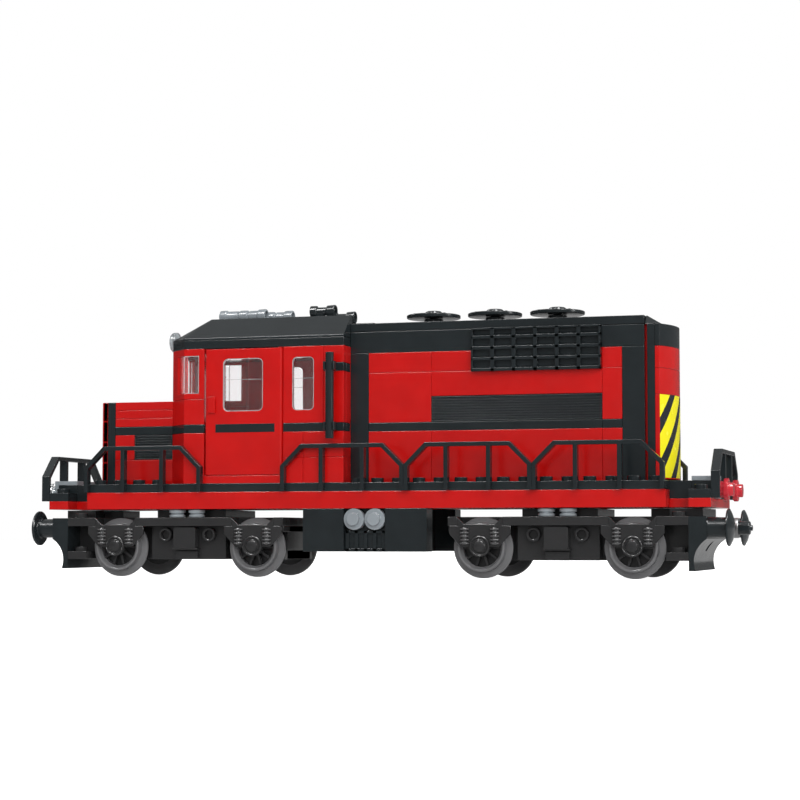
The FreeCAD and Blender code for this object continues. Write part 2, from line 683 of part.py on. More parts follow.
def noses():
    """Bowed red ends; the hood end carries a thin hazard panel let into its face."""
    tall = nose_block(deck_top + 0.4, beam_low)
    panel_z = (deck_top + 1.4, deck_top + 32.8)
    face = extruded("Panel_face", "XY_Plane", nose_outline(0), panel_z[1] - panel_z[0])
    back = extruded("Panel_back", "XY_Plane", nose_outline(0.3), panel_z[1] - panel_z[0])
    place(face, nose_x, 0, panel_z[0])
    place(back, nose_x, 0, panel_z[0])
    tips = [box((nose_x, nose_x + pitch), span, panel_z)
            for span in mirrored_pairs(hood_half - 0.4, hood_half + plate)]
    panel = cut(face, group([back] + tips))
    face_again = extruded("Recess_face", "XY_Plane", nose_outline(0), panel_z[1] - panel_z[0])
    back_again = extruded("Recess_back", "XY_Plane", nose_outline(0.3), panel_z[1] - panel_z[0])
    place(face_again, nose_x, 0, panel_z[0])
    place(back_again, nose_x, 0, panel_z[0])
    recess_tips = [box((nose_x, nose_x + pitch), span, panel_z)
                   for span in mirrored_pairs(hood_half - 0.4, hood_half + plate)]
    recess = cut(face_again, group([back_again] + recess_tips))
    low_nose = nose_block(deck_top + 0.4, short_top, -1)
    node("red_noses", group([cut(tall, recess), low_nose]))
    node("hazard_panel", panel)


def hood_roof():
    """Lift-off long hood roof with a wedge at its end and three hubs for the fans."""
    slab = box((hood_front, hood_back), (-hood_half, hood_half), (beam_top, hood_top))
    lip_in = wall + 0.2
    lip = box((hood_front + lip_in, hood_back - lip_in), (-hood_half + lip_in, hood_half - lip_in),
              (beam_top - plate / 2, beam_top))
    wedge = doc.addObject("Part::Wedge", "Roof_wedge")
    wedge_low, wedge_back = hood_back, nose_x + 2.2
    for letter, low, high in (("X", 0, wedge_back - wedge_low), ("Y", 0, hood_top - beam_top),
                              ("Z", 0, 2 * hood_half)):
        bind(wedge, f"{letter}min", low)
        bind(wedge, f"{letter}max", high)
    bind(wedge, "X2min", 0)
    bind(wedge, "X2max", 0.3)
    bind(wedge, "Z2min", 2.4)
    bind(wedge, "Z2max", 2 * hood_half - 2.4)
    wedge.Placement = FreeCAD.Placement(Vector(0, 0, 0), FreeCAD.Rotation(Vector(1, 0, 0), 90))
    for letter, number in (("x", wedge_low), ("y", hood_half), ("z", beam_top)):
        bind(wedge, f"Placement.Base.{letter}", number)
    solids = [slab, lip, wedge]
    for number, x in enumerate((20, 44, 68), start=1):
        solids.append(rod((x, 0, hood_top), (0, 0, 1), 3.6, 2.4))
        solids.append(rod((x, 0, hood_top + 2.4), (0, 0, 1), 1.5, 2.4))
        roof_fan(number, x)
    node("hood_roof", union(solids))


def roof_fan(number, x):
    """A shallow dished fan with eight low vanes, free to turn on its hub."""
    low = hood_top + 2.6
    bore = 1.5 + running_gap
    outline = [(bore, 0), (9.9, 0), (10.2, 0.2), (10.2, 1.2), (9.7, 1.45), (8.6, 1.25),
               (3.4, 1.75), (3.1, 2.6), (2.6, 2.9), (bore, 2.9)]
    solids = [place(turned(f"Fan_dish_{number}", outline), x, 0, low)]
    for turn in range(8):
        vane = doc.addObject("Part::Box", "Vane")
        bind(vane, "Length", 5.2)
        bind(vane, "Width", 1.2)
        bind(vane, "Height", 0.9)
        angle = 45.0 * turn
        direction = Vector(math.cos(math.radians(angle)), math.sin(math.radians(angle)), 0)
        foot = direction * 3.2 - Vector(-direction.y, direction.x, 0) * 0.6
        vane.Placement = FreeCAD.Placement(Vector(0, 0, 0), FreeCAD.Rotation(Vector(0, 0, 1), angle))
        for letter, value in (("x", x + foot.x), ("y", foot.y), ("z", low + 1.0)):
            bind(vane, f"Placement.Base.{letter}", value)
        solids.append(vane)
    node(f"roof_fan_{number}", union(solids))


# ---- inside the long hood ---------------------------------------------------------------
def power_pack():
    """Battery box with six cells and a push button, and the remote control receiver."""
    left, right, half = 30.0, 92.0, 12.6
    low, high, skin = deck_top, 79.2, 1.2
    shell = box((left, right), (-half, half), (low, high))
    room = box((left + skin, right - skin), (-half + skin, half - skin), (low + skin, high - skin))
    hole = box((58, 64), (-3, 3), (high - plate, high + 1))
    cells = []
    cell_radius, cell_length = 5.2, 44.5
    for row in range(3):
        for side in SIDES:
            start = (left + skin + 1, side * (cell_radius + 0.3), low + skin + 0.3
                     + cell_radius + row * (2 * cell_radius + 0.3))
            nub = (start[0] + cell_length, start[1], start[2])
            cells.append(union([rod(start, (1, 0, 0), cell_radius, cell_length),
                                rod(nub, (1, 0, 0), 1.9, 1.0)]))
    node("battery_box", cut(shell, [room, hole]))
    node("battery_cells", group(cells))
    cap = box((58.3, 63.7), (-2.7, 2.7), (high - 2.2, high + 1.4))
    flange = box((57, 65), (-4, 4), (high - 3.6, high - 2.2))
    node("power_button", union([cap, flange]))
    body = box((-3, 24), (-12, 12), (deck_top, 66))
    eye = rod((10.5, 0, 66), (0, 0, 1), 4.5, 5.0)
    node("receiver", union([body, eye]))


# ---- bogies -----------------------------------------------------------------------------
def bogie_frame(end, name):
    """Bogie casting: housing between the wheels, top plates, and the king pin."""
    middle = end * bogie_x

    def span(inner, outer):
        """A stretch along X, counted outwards from the pivot."""
        return (middle + end * inner, middle + end * outer)

    housing_low, flange_gap = 6.6, 0.6
    narrow, wide = 13.0, 18.4
    clear = 7.9 + flange_gap
    inner_end = -axle_x - 1.25 * pitch
    solids = [box(span(inner_end, axle_x + pitch), (-narrow, narrow), (housing_low, frame_low)),
              box(span(inner_end, -axle_x), (-hood_half, hood_half), (housing_low, 10.1)),
              box(span(-5 * pitch, -4.5 * pitch), (-hood_half, hood_half), (17.0, frame_low)),
              box(span(-5 * pitch, 2 - 5 * pitch), (1.1 - half_width, half_width - 1.1),
                  (17.0, frame_low)),
              box(span(-15.2, 15.2), (-wide, wide), (housing_low, frame_low)),
              box(span(-5 * pitch, 6 * pitch), (-hood_half, hood_half), (frame_low, frame_top)),
              box(span(-axle_x + clear, axle_x - clear), (-half_width, half_width),
                  (frame_low, frame_top)),
              box(span(axle_x + clear, 6 * pitch), (-half_width, half_width), (frame_low, frame_top)),
              box(span(-5 * pitch, -axle_x - clear), (-half_width, half_width),
                  (frame_low, frame_top)),
              box(span(4 * pitch, 6.5 * pitch), (-pitch, pitch), (frame_top, base_low - swing_gap)),
              box(span(5 * pitch, 6.5 * pitch), (-hood_half, hood_half),
                  (frame_top, base_low - swing_gap)),
              box(span(5 * pitch, 6 * pitch), (-half_width, half_width), (housing_low, 9.6)),
              box(span(5 * pitch, 6 * pitch), (-narrow, narrow), (housing_low, frame_low)),
              box(span(axle_x, 6 * pitch), (-narrow, narrow), (housing_low, 9.6)),
              box(span(-14, 14), (-hood_half, hood_half), (frame_top, base_low - swing_gap)),
              rod((middle, 0, frame_top), (0, 0, 1), pin_radius, 2.5 * plate + 0.2),
              rod((middle, 0, step_top + plate / 2 + 0.2), (0, 0, 1),
                  pin_radius + plate / 2, plate / 2 - 0.4)]
    for side in SIDES:
        stud = (middle + end * 5.5 * pitch, side * 2.5 * pitch, frame_top)
        solids.append(rod(stud, (0, 0, 1), stud_radius, stud_height))
        block_y = (side * wide, side * (half_width - 1.6))
        solids.append(box(span(-4.5, 4.5), block_y, (10.5, 18.8)))
        solids.append(box(span(-4.5, 4.5), (side * wide, side * (half_width - 3.2)),
                          (housing_low, 9.8)))
        for step in SIDES:
            boss = (middle + step * 8.9, side * wide, 16.0)
            solids.append(rod(boss, (0, side, 0), 2.6, 1.4))
    tools = []
    for step in SIDES:
        axle = (middle + step * axle_x, -half_width, axle_z)
        tools.append(rod(axle, (0, 1, 0), axle_radius + running_gap, 2 * half_width))
        for side in SIDES:
            hole = (middle + step * 8.9, side * (wide + 1.6), 16.0)
            tools.append(rod(hole, (0, -side, 0), 1.7, 3.0))
    casting = union(solids)
    if end > 0:
        gear_room = box(span(-12, axle_x + 6.8), (5.6, 9.6), (housing_low - 4, frame_low))
        motor_room = box(span(-8, 24.4), (-11, 5.8), (housing_low + 1, frame_low - 0.2))
        tools += [gear_room, motor_room]
    node(name, cut(casting, tools))


def slide_plates(end, name):
    """Four grey round plates on a bogie, on which the base slides as the bogie turns."""
    plates = []
    for step in SIDES:
        for side in SIDES:
            foot = (end * bogie_x + step * pitch / 2, side * 2.5 * pitch, frame_top)
            plates.append(rod(foot, (0, 0, 1), 0.4 * pitch, plate - swing_gap))
    node(name, group(plates))


def axle_box_covers(end, name):
    """Four dummy axle boxes per bogie, each with two coil springs and a cap."""
    covers = []
    outline = [(-11.5, 19.2), (-8.5, 19.2), (-8.5, 22.4), (-5.8, 19.7), (5.8, 19.7), (8.5, 22.4),
               (8.5, 19.2), (11.5, 19.2), (11.5, 16.2), (7, 11.4), (-7, 11.4), (-11.5, 16.2)]
    for step in SIDES:
        for side in SIDES:
            x = end * bogie_x + step * axle_x
            back, face = side * (half_width - 1.1), side * half_width
            label = f"Cover_{end + 1}_{step + 1}_{side + 1}"
            sheet_part = extruded(label, "XZ_Plane", outline, 1.1)
            place(sheet_part, x, max(back, face, key=float), 0)
            solids = [sheet_part, rod((x, back, 12.4), (0, side, 0), 3.9, 1.6),
                      rod((x, back, 12.4), (0, side, 0), 2.2, 2.4)]
            for spring in SIDES:
                core = (x + spring * 6.0, face, 11.9)
                solids.append(rod(core, (0, 0, 1), 0.8, 6.6))
                for coil in range(5):
                    turn = (core[0], core[1], 12.4 + 1.25 * coil)
                    solids.append(rod(turn, (0, 0, 1), 1.3, 0.6))
            covers.append(union(solids))
    node(name, group(covers))


def wheelset(number, x, geared):
    """A steel axle with its two wheels; the driven axle also carries its gear."""
    wheel_in, flange_out, wheel_out = 17.4, 18.8, 22.2
    outline = [(axle_radius, wheel_in), (axle_z, wheel_in), (axle_z, flange_out - 0.4),
               (tread_radius + 0.3, flange_out), (tread_radius, wheel_out), (7.0, wheel_out),
               (6.6, 19.6), (2.8, 19.6), (2.6, wheel_out), (axle_radius, wheel_out)]
    wheels = []
    for side in SIDES:
        wheel = turned(f"Wheel_{number}_{side + 1}", outline)
        place(wheel, x, 0, axle_z, axis=(0, side, 0))
        windows = []
        for turn in range(8):
            angle = math.radians(22.5 + 45 * turn)
            centre = (x + 4.7 * math.cos(angle), side * (wheel_in - 1), axle_z + 4.7 * math.sin(angle))
            windows.append(rod(centre, (0, side, 0), 1.25, 4))
        wheels.append(cut(wheel, windows))
    node(f"wheels_{number}", group(wheels))
    steel = rod((x, -wheel_out, axle_z), (0, 1, 0), axle_radius, 2 * wheel_out)
    if geared:
        gear = spur_gear("Axle_gear", wheel_teeth)
        place(gear, x, 9.0, axle_z, axis=(0, -1, 0), spin=gear_phase())
        steel = union([steel, gear])
    node(f"axle_{number}", steel)


def gear_phase():
    """Degrees that the axle gear is turned by, so a tooth meets a gap of the pinion."""
    line = math.degrees(math.atan2(-float(pinion_rise), pinion_reach()))
    share = 0.5 - (90 - line) * float(pinion_teeth) / 360 - (-90 - line) * float(wheel_teeth) / 360
    return share % 1 * 360 / float(wheel_teeth)


def pinion_reach():
    """How far the pinion lies inboard of the driven axle."""
    mesh = float(gear_module) / 2 * float(pinion_teeth + wheel_teeth)
    return math.sqrt(mesh ** 2 - float(pinion_rise) ** 2)


def spur_gear(name, teeth):
    """A spur gear: a root disc and one tooth repeated round it."""
    half_module = gear_module / 2
    pitch_radius = half_module * teeth
    root, tip = pitch_radius - 1.2 * gear_module, pitch_radius + 0.9 * gear_module
    body = doc.addObject("PartDesign::Body", name)
    disc_sketch = body.newObject("Sketcher::SketchObject", name + "_disc")
    disc_sketch.AttachmentSupport = (origin_plane(body, "XY_Plane"), "")
    disc_sketch.MapMode = "FlatFace"
    disc_sketch.addGeometry(Part.Circle(Vector(0, 0, 0), Vector(0, 0, 1), float(root)))
    disc_sketch.addConstraint(Sketcher.Constraint("Coincident", 0, 3, -1, 1))
    radius = disc_sketch.addConstraint(Sketcher.Constraint("Radius", 0, float(root)))
    disc_sketch.setExpression(f"Constraints[{radius}]", formula_of(root))
    disc = body.newObject("PartDesign::Pad", name + "_root")
    disc.Profile = disc_sketch
    disc.Length = 2.8
    tooth_sketch = body.newObject("Sketcher::SketchObject", name + "_tooth")
    tooth_sketch.AttachmentSupport = (origin_plane(body, "XY_Plane"), "")
    tooth_sketch.MapMode = "FlatFace"
    root_half, pitch_half, tip_half = 0.9 * gear_module, 0.64 * gear_module, 0.3 * gear_module
    flank = [(-root_half, root - 0.3), (-root_half, root), (-pitch_half, pitch_radius),
             (-tip_half, tip), (tip_half, tip), (pitch_half, pitch_radius), (root_half, root),
             (root_half, root - 0.3)]
    sketch_outline(tooth_sketch, flank)
    tooth = body.newObject("PartDesign::Pad", name + "_first")
    tooth.Profile = tooth_sketch
    tooth.Length = 2.8
    around = body.newObject("PartDesign::PolarPattern", name + "_teeth")
    around.Originals = [tooth]
    around.Axis = (disc_sketch, ["N_Axis"])
    around.Angle = 360
    around.Occurrences = int(teeth)
    body.Tip = around
    return body


def motor_drive():
    """Motor inside the hood-end bogie, and the pinion on its shaft."""
    x, z = bogie_x + axle_x - pinion_reach(), axle_z + pinion_rise
    can = rod((x, -11, z), (0, 1, 0), 5.2, 15.5)
    node("drive_motor", cut(can, rod((x, -4, z), (0, 1, 0), 1.0 + running_gap, 12)))
    shaft = rod((x, -3.7, z), (0, 1, 0), 1.0, 13.0)
    pinion = spur_gear("Pinion_gear", pinion_teeth)
    place(pinion, x, 9.0, z, axis=(0, -1, 0))
    node("motor_pinion", union([shaft, pinion]))


def dome_corner(radius, height, rise):
    """The outline corner from which a spherical cap rises to the axis."""
    bend = (radius ** 2 + rise ** 2) / (2 * rise)
    across = radius / 2
    return (radius, height, (across, height + rise - bend + math.sqrt(bend ** 2 - across ** 2)))


def buffer_beam(end, name):
    """Cross beam with a hollow-curved plough below it and two domed buffers."""
    inner = end_half - pitch
    outline = [(end * inner, 3.0), (end * (inner + 2.4), 3.0, (end * (inner + 1.5), 8.6)),
               (end * (inner + 6.4), 14.4), (end * (inner + 6.4), 22.3), (end * inner, 22.3)]
    beam = place(extruded(f"Beam_{end + 1}", "XZ_Plane", outline, 2 * half_width), 0, half_width, 0)
    solids = [beam]
    for side in SIDES:
        dome = [(0, -1), (3.6, -1), (3.6, 6.6), (6.65, 6.8), dome_corner(6.65, 7.6, 1.8), (0, 9.4)]
        buffer = turned(f"Buffer_{end + 1}_{side + 1}", dome)
        solids.append(place(buffer, end * (inner + 6.4), side * 2.5 * pitch, 18.4, axis=(end, 0, 0)))
    socket = rod((end * (inner + 3.2), 0, 10), (0, 0, 1), 2.0 + running_gap, 15)
    mouth = box((end * (inner + 0.8), end * (inner + 8)), (-3.4, 3.4), (16.4, 20.8))
    node(name, cut(union(solids), [socket, mouth]))


def coupler(end, side_name):
    """Swivelling magnetic coupler: an arm on an upright pin, and its round magnet."""
    pivot = end * (end_half - pitch + 3.2)
    height = 18.3
    disc_back, disc_front, tip = end * 133.6, end * 135.6, end * 138.6
    pin = rod((pivot, 0, 13.6), (0, 0, 1), 2.0, 8.4)
    arm = box((pivot, disc_back), (-1.6, 1.6), (16.8, 20.4))
    hub = rod((disc_front, 0, height), (end, 0, 0), 2.4, 3.0)
    flange = box((end * 133.2, tip + end * 0.9), (-2.6, 2.6), (height - 0.55, height + 0.55))
    magnet = rod((disc_back, 0, height), (end, 0, 0), 3.65, 2.0)
    slot = box((end * 133.0, disc_front), (-2.6, 2.6), (height - 0.55, height + 0.55))
    node(f"{side_name}_coupler", union([pin, arm, hub, flange]))
    node(f"{side_name}_magnet", cut(magnet, slot))


def running_gear():
    """Both bogies with everything that rides on them."""
    for end, side_name in ((-1, "cab_end"), (1, "hood_end")):
        bogie_frame(end, f"{side_name}_bogie")
        slide_plates(end, f"{side_name}_slide_plates")
        axle_box_covers(end, f"{side_name}_axle_boxes")
        buffer_beam(end, f"{side_name}_buffer_beam")
        coupler(end, side_name)
    places = [-bogie_x - axle_x, -bogie_x + axle_x, bogie_x - axle_x, bogie_x + axle_x]
    for number, x in enumerate(places, start=1):
        wheelset(number, x, geared=(number == 4))
    motor_drive()


# ---- build, check and write -------------------------------------------------------------
def build():
    """Make every sub-part."""
    base_plate()
    deck_plate()
    end_decks()
    lamps()
    railings()
    underframe()
    short_hood()
    cab_walls()
    cab_glazing()
    cab_doors()
    handrails()
    cab_roof()
    horns()
    long_hood()
    noses()
    hood_roof()
    power_pack()
    running_gear()


def check_and_write():
    """Stop on anything failed or invalid, then write one STEP file for each sub-part."""
    doc.recompute()
    failed = [thing.Name for thing in doc.Objects
              if "Invalid" in thing.State or "Error" in thing.State]
    if failed:
        raise RuntimeError(f"failed objects: {failed}")
    for thing in nodes:
        if thing.Shape.isNull() or not thing.Shape.isValid() or not thing.Shape.Solids:
            raise RuntimeError(f"bad shape: {thing.Label}")
    for thing in nodes:
        thing.Shape.exportStep(f"parts/{thing.Label}.step")
        print(thing.Label, len(thing.Shape.Solids), round(thing.Shape.Volume, 1))
    print(len(nodes), "sub-parts")


build()
check_and_write()
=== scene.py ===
import math

import bmesh
import bpy
from mathutils import Matrix, Vector


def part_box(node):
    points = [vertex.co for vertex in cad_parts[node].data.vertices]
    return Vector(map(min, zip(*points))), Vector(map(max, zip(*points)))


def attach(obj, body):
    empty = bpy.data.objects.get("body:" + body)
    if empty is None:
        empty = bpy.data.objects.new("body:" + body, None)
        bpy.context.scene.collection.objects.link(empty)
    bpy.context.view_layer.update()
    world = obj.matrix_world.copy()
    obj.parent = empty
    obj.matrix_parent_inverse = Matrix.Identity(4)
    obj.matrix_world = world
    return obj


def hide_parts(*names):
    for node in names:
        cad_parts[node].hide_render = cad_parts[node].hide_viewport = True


# Brick-built toy diesel locomotive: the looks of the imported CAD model. Every length in this
# script is in millimetres until a piece is finished, when it is scaled to metres.

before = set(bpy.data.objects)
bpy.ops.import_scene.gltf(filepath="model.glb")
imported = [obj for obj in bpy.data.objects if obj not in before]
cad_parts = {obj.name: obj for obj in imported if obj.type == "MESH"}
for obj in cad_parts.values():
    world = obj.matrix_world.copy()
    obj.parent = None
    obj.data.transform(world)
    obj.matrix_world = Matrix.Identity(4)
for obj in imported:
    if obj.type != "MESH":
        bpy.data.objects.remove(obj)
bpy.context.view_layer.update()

MM = 0.001
PITCH = 8.0          # from stud to stud
PLATE = 3.2          # one plate high
BEVEL = 0.16         # rounding of a moulded edge
SEAM = 0.035         # how far a brick stays back from its neighbour's
STUD_R = 2.4
STUD_H = 1.7
WALL = 3.2
SIDES = (-1, 1)
UP = (0, 0, 1)


def cad_mm(node):
    """Lowest and highest corner of a CAD node, in millimetres."""
    low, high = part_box(node)
    return [value / MM for value in low], [value / MM for value in high]


# ---- levels and lengths, from the base plate's size, the brick grid and given values ----
base_box = cad_mm("base_plate")
BASE_LOW = base_box[0][2]
END_HALF, HALF_W = base_box[1][:2]
MAIN_HALF = END_HALF - 2 * PITCH
HOOD_HALF = HALF_W - PITCH
STEP_TOP = BASE_LOW + PLATE
BASE_TOP = BASE_LOW + 2 * PLATE
DECK_TOP = BASE_LOW + 3 * PLATE
STRIPE_LOW = DECK_TOP + 6 * PLATE
STRIPE_TOP = STRIPE_LOW + PLATE
SHORT_TOP = DECK_TOP + 10 * PLATE
CAB_TOP = DECK_TOP + 16 * PLATE
HOOD_TOP = DECK_TOP + 59.8
BEAM_TOP = HOOD_TOP - PLATE
BEAM_LOW = BEAM_TOP - PITCH
CAB_FRONT, CAB_BACK = -10 * PITCH, -PITCH
DOOR_FRONT, DOOR_BACK = -8 * PITCH, -4 * PITCH
BOGIE_X = 9 * PITCH
AXLE_X = 28.0
AXLE_Z = 11.2
FRAME_LOW = BASE_LOW - 2 * PLATE
FRAME_TOP = BASE_LOW - PLATE
BOGIE_LOW = 6.6
BOX_IN = 1.1         # how far the back of an axle box lies inside the base's side
BOX_HUB_Z = 11.7
COUPLER_Z = 18.3
MAGNET_X, COUPLER_HUB_X = 132.6, 134.4
BASE_Y = (-HALF_W, HALF_W)
HOOD_Y = (-HOOD_HALF, HOOD_HALF)
INSIDE_Y = (WALL - HOOD_HALF, HOOD_HALF - WALL)
STRIPE_Z = (STRIPE_LOW, STRIPE_TOP)


# ---- mesh helpers ----
def shape():
    """An empty shape, in millimetres."""
    return bmesh.new()


def block(bm, xs, ys, zs, seam=0.0):
    """Add a block; seam holds every face back a little, so that neighbours show a joint."""
    lows = [min(pair) + seam for pair in (xs, ys, zs)]
    highs = [max(pair) - seam for pair in (xs, ys, zs)]
    size = [high - low for low, high in zip(lows, highs)]
    middle = [(high + low) / 2 for low, high in zip(lows, highs)]
    matrix = Matrix.Translation(middle) @ Matrix.Diagonal((*size, 1.0))
    bmesh.ops.create_cube(bm, size=1.0, matrix=matrix)
    return bm


def brick(bm, *row):
    """Add a block that stays back from its neighbours by the width of a seam."""
    return block(bm, *row, SEAM)


def bridge(bm, first, second):
    """Faces between two closed loops of as many points; a loop may also be a single point."""
    if len(first) == 1:
        first = first * len(second)
    if len(second) == 1:
        second = second * len(first)
    made = []
    for corners in zip(first, first[1:] + first[:1], second[1:] + second[:1], second):
        made.append(bm.faces.new(list(dict.fromkeys(corners))))
    return made


def loft(bm, loops, closed=False):
    """Faces from each loop to the next; an open row of loops is capped at both ends."""
    made = []
    for first, second in zip(loops, loops[1:] + loops[:1] if closed else loops[1:]):
        made += bridge(bm, first, second)
    if not closed:
        made += [bm.faces.new(loop) for loop in (loops[0], loops[-1]) if len(loop) > 1]
    bmesh.ops.recalc_face_normals(bm, faces=made)
    return bm


def around(centre, radius, angle):
    """The point of a flat circle that lies at an angle."""
    return centre[0] + radius * math.cos(angle), centre[1] + radius * math.sin(angle)


def turn_to(axis, origin=(0, 0, 0)):
    """The matrix that turns +Z towards axis and moves to origin."""
    rotation = Vector(UP).rotation_difference(Vector(axis)).to_matrix().to_4x4()
    return Matrix.Translation(origin) @ rotation


def lathe(bm, profile, origin, axis=UP, segments=48, closed=False):
    """Add a solid of revolution; profile is (radius, height) from one end to the other."""
    matrix = turn_to(axis, origin)
    loops = []
    for radius, height in profile:
        angles = [2 * math.pi * step / segments for step in range(segments if radius else 1)]
        loops.append([bm.verts.new(matrix @ Vector((*around((0, 0), radius, angle), height)))
                      for angle in angles])
    return loft(bm, loops, closed)


def ring_lathe(bm, profile, origin, axis=UP, segments=48):
    """Add a ring: the profile is a closed loop that stays off the axis."""
    return lathe(bm, profile, origin, axis, segments, True)


def rod(bm, start, axis, radius, length, segments=48):
    """Add a plain cylinder."""
    return lathe(bm, [(radius, 0), (radius, length)], start, axis, segments)


def prism(bm, outline, axis, low, high):
    """Add an outline pushed along axis; the outline's two numbers are the other two axes."""
    def point(first, second, along):
        """A corner of the prism."""
        return {"x": (along, first, second), "y": (first, along, second),
                "z": (first, second, along)}[axis]
    return loft(bm, [[bm.verts.new(point(first, second, along)) for first, second in outline]
                     for along in sorted((low, high))])


def trim(span, inset):
    """A stretch made shorter at both ends."""
    return span[0] + inset, span[1] - inset


def rounded(firsts, seconds, radius, steps=6):
    """A rectangle's outline with rounded corners."""
    low_1, high_1 = min(firsts), max(firsts)
    low_2, high_2 = min(seconds), max(seconds)
    centres = [(high_1 - radius, high_2 - radius), (low_1 + radius, high_2 - radius),
               (low_1 + radius, low_2 + radius), (high_1 - radius, low_2 + radius)]
    outline = []
    for corner, (across, up) in enumerate(centres):
        for step in range(steps + 1):
            angle = math.radians(90 * corner + 90 * step / steps)
            outline.append(around((across, up), radius, angle))
    return outline


def as_object(bm, name):
    """An object in the scene that holds a shape."""
    mesh = bpy.data.meshes.new(name)
    bm.to_mesh(mesh)
    bm.free()
    thing = bpy.data.objects.new(name, mesh)
    bpy.context.scene.collection.objects.link(thing)
    return thing


def carve(bm, cutters):
    """The shape with the cutters' volume taken away."""
    target, tool = as_object(bm, "carve_target"), as_object(cutters, "carve_tool")
    modifier = target.modifiers.new("carve", "BOOLEAN")
    modifier.operation = "DIFFERENCE"
    modifier.solver = "EXACT"
    modifier.object = tool
    graph = bpy.context.evaluated_depsgraph_get()
    result = shape()
    result.from_mesh(bpy.data.meshes.new_from_object(target.evaluated_get(graph)))
    bmesh.ops.remove_doubles(result, verts=result.verts, dist=1e-4)
    for thing in (target, tool):
        bpy.data.objects.remove(thing)
    return result


def piece(name, bm, material, replaces=(), body="chassis", bevel=BEVEL):
    """Finish a shape: scale it to metres, round its edges, and put it on its body."""
    bmesh.ops.scale(bm, vec=(MM, MM, MM), verts=bm.verts)
    for face in bm.faces:
        face.smooth = True
    thing = as_object(bm, name)
    thing.data.materials.append(material)
    if bevel:
        rounding = thing.modifiers.new("rounding", "BEVEL")
        rounding.width = bevel * MM
        rounding.segments = 2
        rounding.limit_method = "ANGLE"
        rounding.angle_limit = math.radians(35)
        rounding.use_clamp_overlap = True
    shading = thing.modifiers.new("shading", "WEIGHTED_NORMAL")
    shading.keep_sharp = True
    shading.weight = 60
    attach(thing, body)
    if replaces:
        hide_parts(*replaces)


def stand_in(node, bm, material, body="chassis", bevel=BEVEL):
    """Finish a shape as the piece that replaces one CAD node and is named after it."""
    piece(node + "_visual", bm, material, [node], body, bevel)


def studs(bm, places, axis=UP):
    """Add plain studs standing on the given feet."""
    for foot in places:
        lathe(bm, [(STUD_R, -0.1), (STUD_R, STUD_H)], foot, axis, 32)


# ---- materials ----
def fill(tree, node, inputs):
    """Give each named input of a node a plain value or another node's output."""
    for name, value in inputs.items():
        if isinstance(value, (int, float, tuple)):
            node.inputs[name].default_value = value
        else:
            tree.links.new(value, node.inputs[name])
    return node


def add(tree, kind, inputs):
    """A new node with its inputs filled."""
    return fill(tree, tree.nodes.new(kind), inputs)


def new_material(name):
    """A material, its node tree and its surface shader."""
    material = bpy.data.materials.new(name)
    material.use_nodes = True
    return material, material.node_tree, material.node_tree.nodes["Principled BSDF"]


def surface_noise(tree, scale, detail=3.0):
    """Fine noise in the row frame, the same on every piece."""
    where = tree.nodes.new("ShaderNodeTexCoord").outputs["Object"]
    return add(tree, "ShaderNodeTexNoise",
               {"Vector": where, "Scale": scale, "Detail": detail}).outputs["Fac"]


def ramp(tree, source, stops):
    """A colour ramp on a source; stops are two (position, colour) pairs."""
    node = add(tree, "ShaderNodeValToRGB", {"Fac": source})
    for element, (position, colour) in zip(node.color_ramp.elements, stops):
        element.position = position
        element.color = (*colour, 1.0)
    return node.outputs["Color"]


def uneven_gloss(tree, source, low, high):
    """Roughness that wanders with a noise between two (noise, roughness) stops."""
    return ramp(tree, source, [(at, (value,) * 3) for at, value in (low, high)])


def moulded(name, colour, roughness=0.18, spread=0.06):
    """Glossy moulded plastic: faint mottling, uneven gloss, and a very fine skin."""
    material, tree, shader = new_material(name)
    darker, lighter = (tuple(value * (1 + sign * spread) for value in colour) for sign in SIDES)
    bump = add(tree, "ShaderNodeBump", {"Strength": 0.03, "Distance": 0.00002,
                                        "Height": surface_noise(tree, 2600.0, 2.0)})
    fill(tree, shader, {
        "Base Color": ramp(tree, surface_noise(tree, 90.0), [(0.3, darker), (0.7, lighter)]),
        "Roughness": uneven_gloss(tree, surface_noise(tree, 260.0, 5.0),
                                  (0.3, roughness * 0.85), (0.75, roughness * 1.25)),
        "Normal": bump.outputs["Normal"], "IOR": 1.53})
    return material


def clear_plastic(name, colour, roughness=0.02, clear=1.0):
    """Transparent moulded plastic with a few faint smears."""
    material, tree, shader = new_material(name)
    gloss = uneven_gloss(tree, surface_noise(tree, 160.0, 4.0), (0.35, roughness),
                         (0.8, roughness + 0.06))
    fill(tree, shader, {"Base Color": (*colour, 1.0), "Roughness": gloss,
                        "Transmission Weight": clear, "IOR": 1.5})
    return material


def metal(name, colour, roughness):
    """Plain metal with fine streaks."""
    material, tree, shader = new_material(name)
    streaks = surface_noise(tree, 900.0, 4.0)
    darker = tuple(value * 0.92 for value in colour)
    fill(tree, shader, {
        "Base Color": ramp(tree, streaks, [(0.2, darker), (0.8, colour)]), "Metallic": 1.0,
        "Roughness": uneven_gloss(tree, streaks, (0.3, roughness * 0.7), (0.7, roughness * 1.3))})
    return material


def calculate(tree, operation, first, second=0.0):
    """A math node on two sources or plain numbers."""
    node = add(tree, "ShaderNodeMath", {0: first, 1: second})
    node.operation = operation
    return node.outputs["Value"]


def coordinates(tree, kind, output):
    """X, Y and Z of what a new node gives out."""
    vector = tree.nodes.new(kind).outputs[output]
    parts = add(tree, "ShaderNodeSeparateXYZ", {"Vector": vector})
    return [parts.outputs[axis] for axis in "XYZ"]


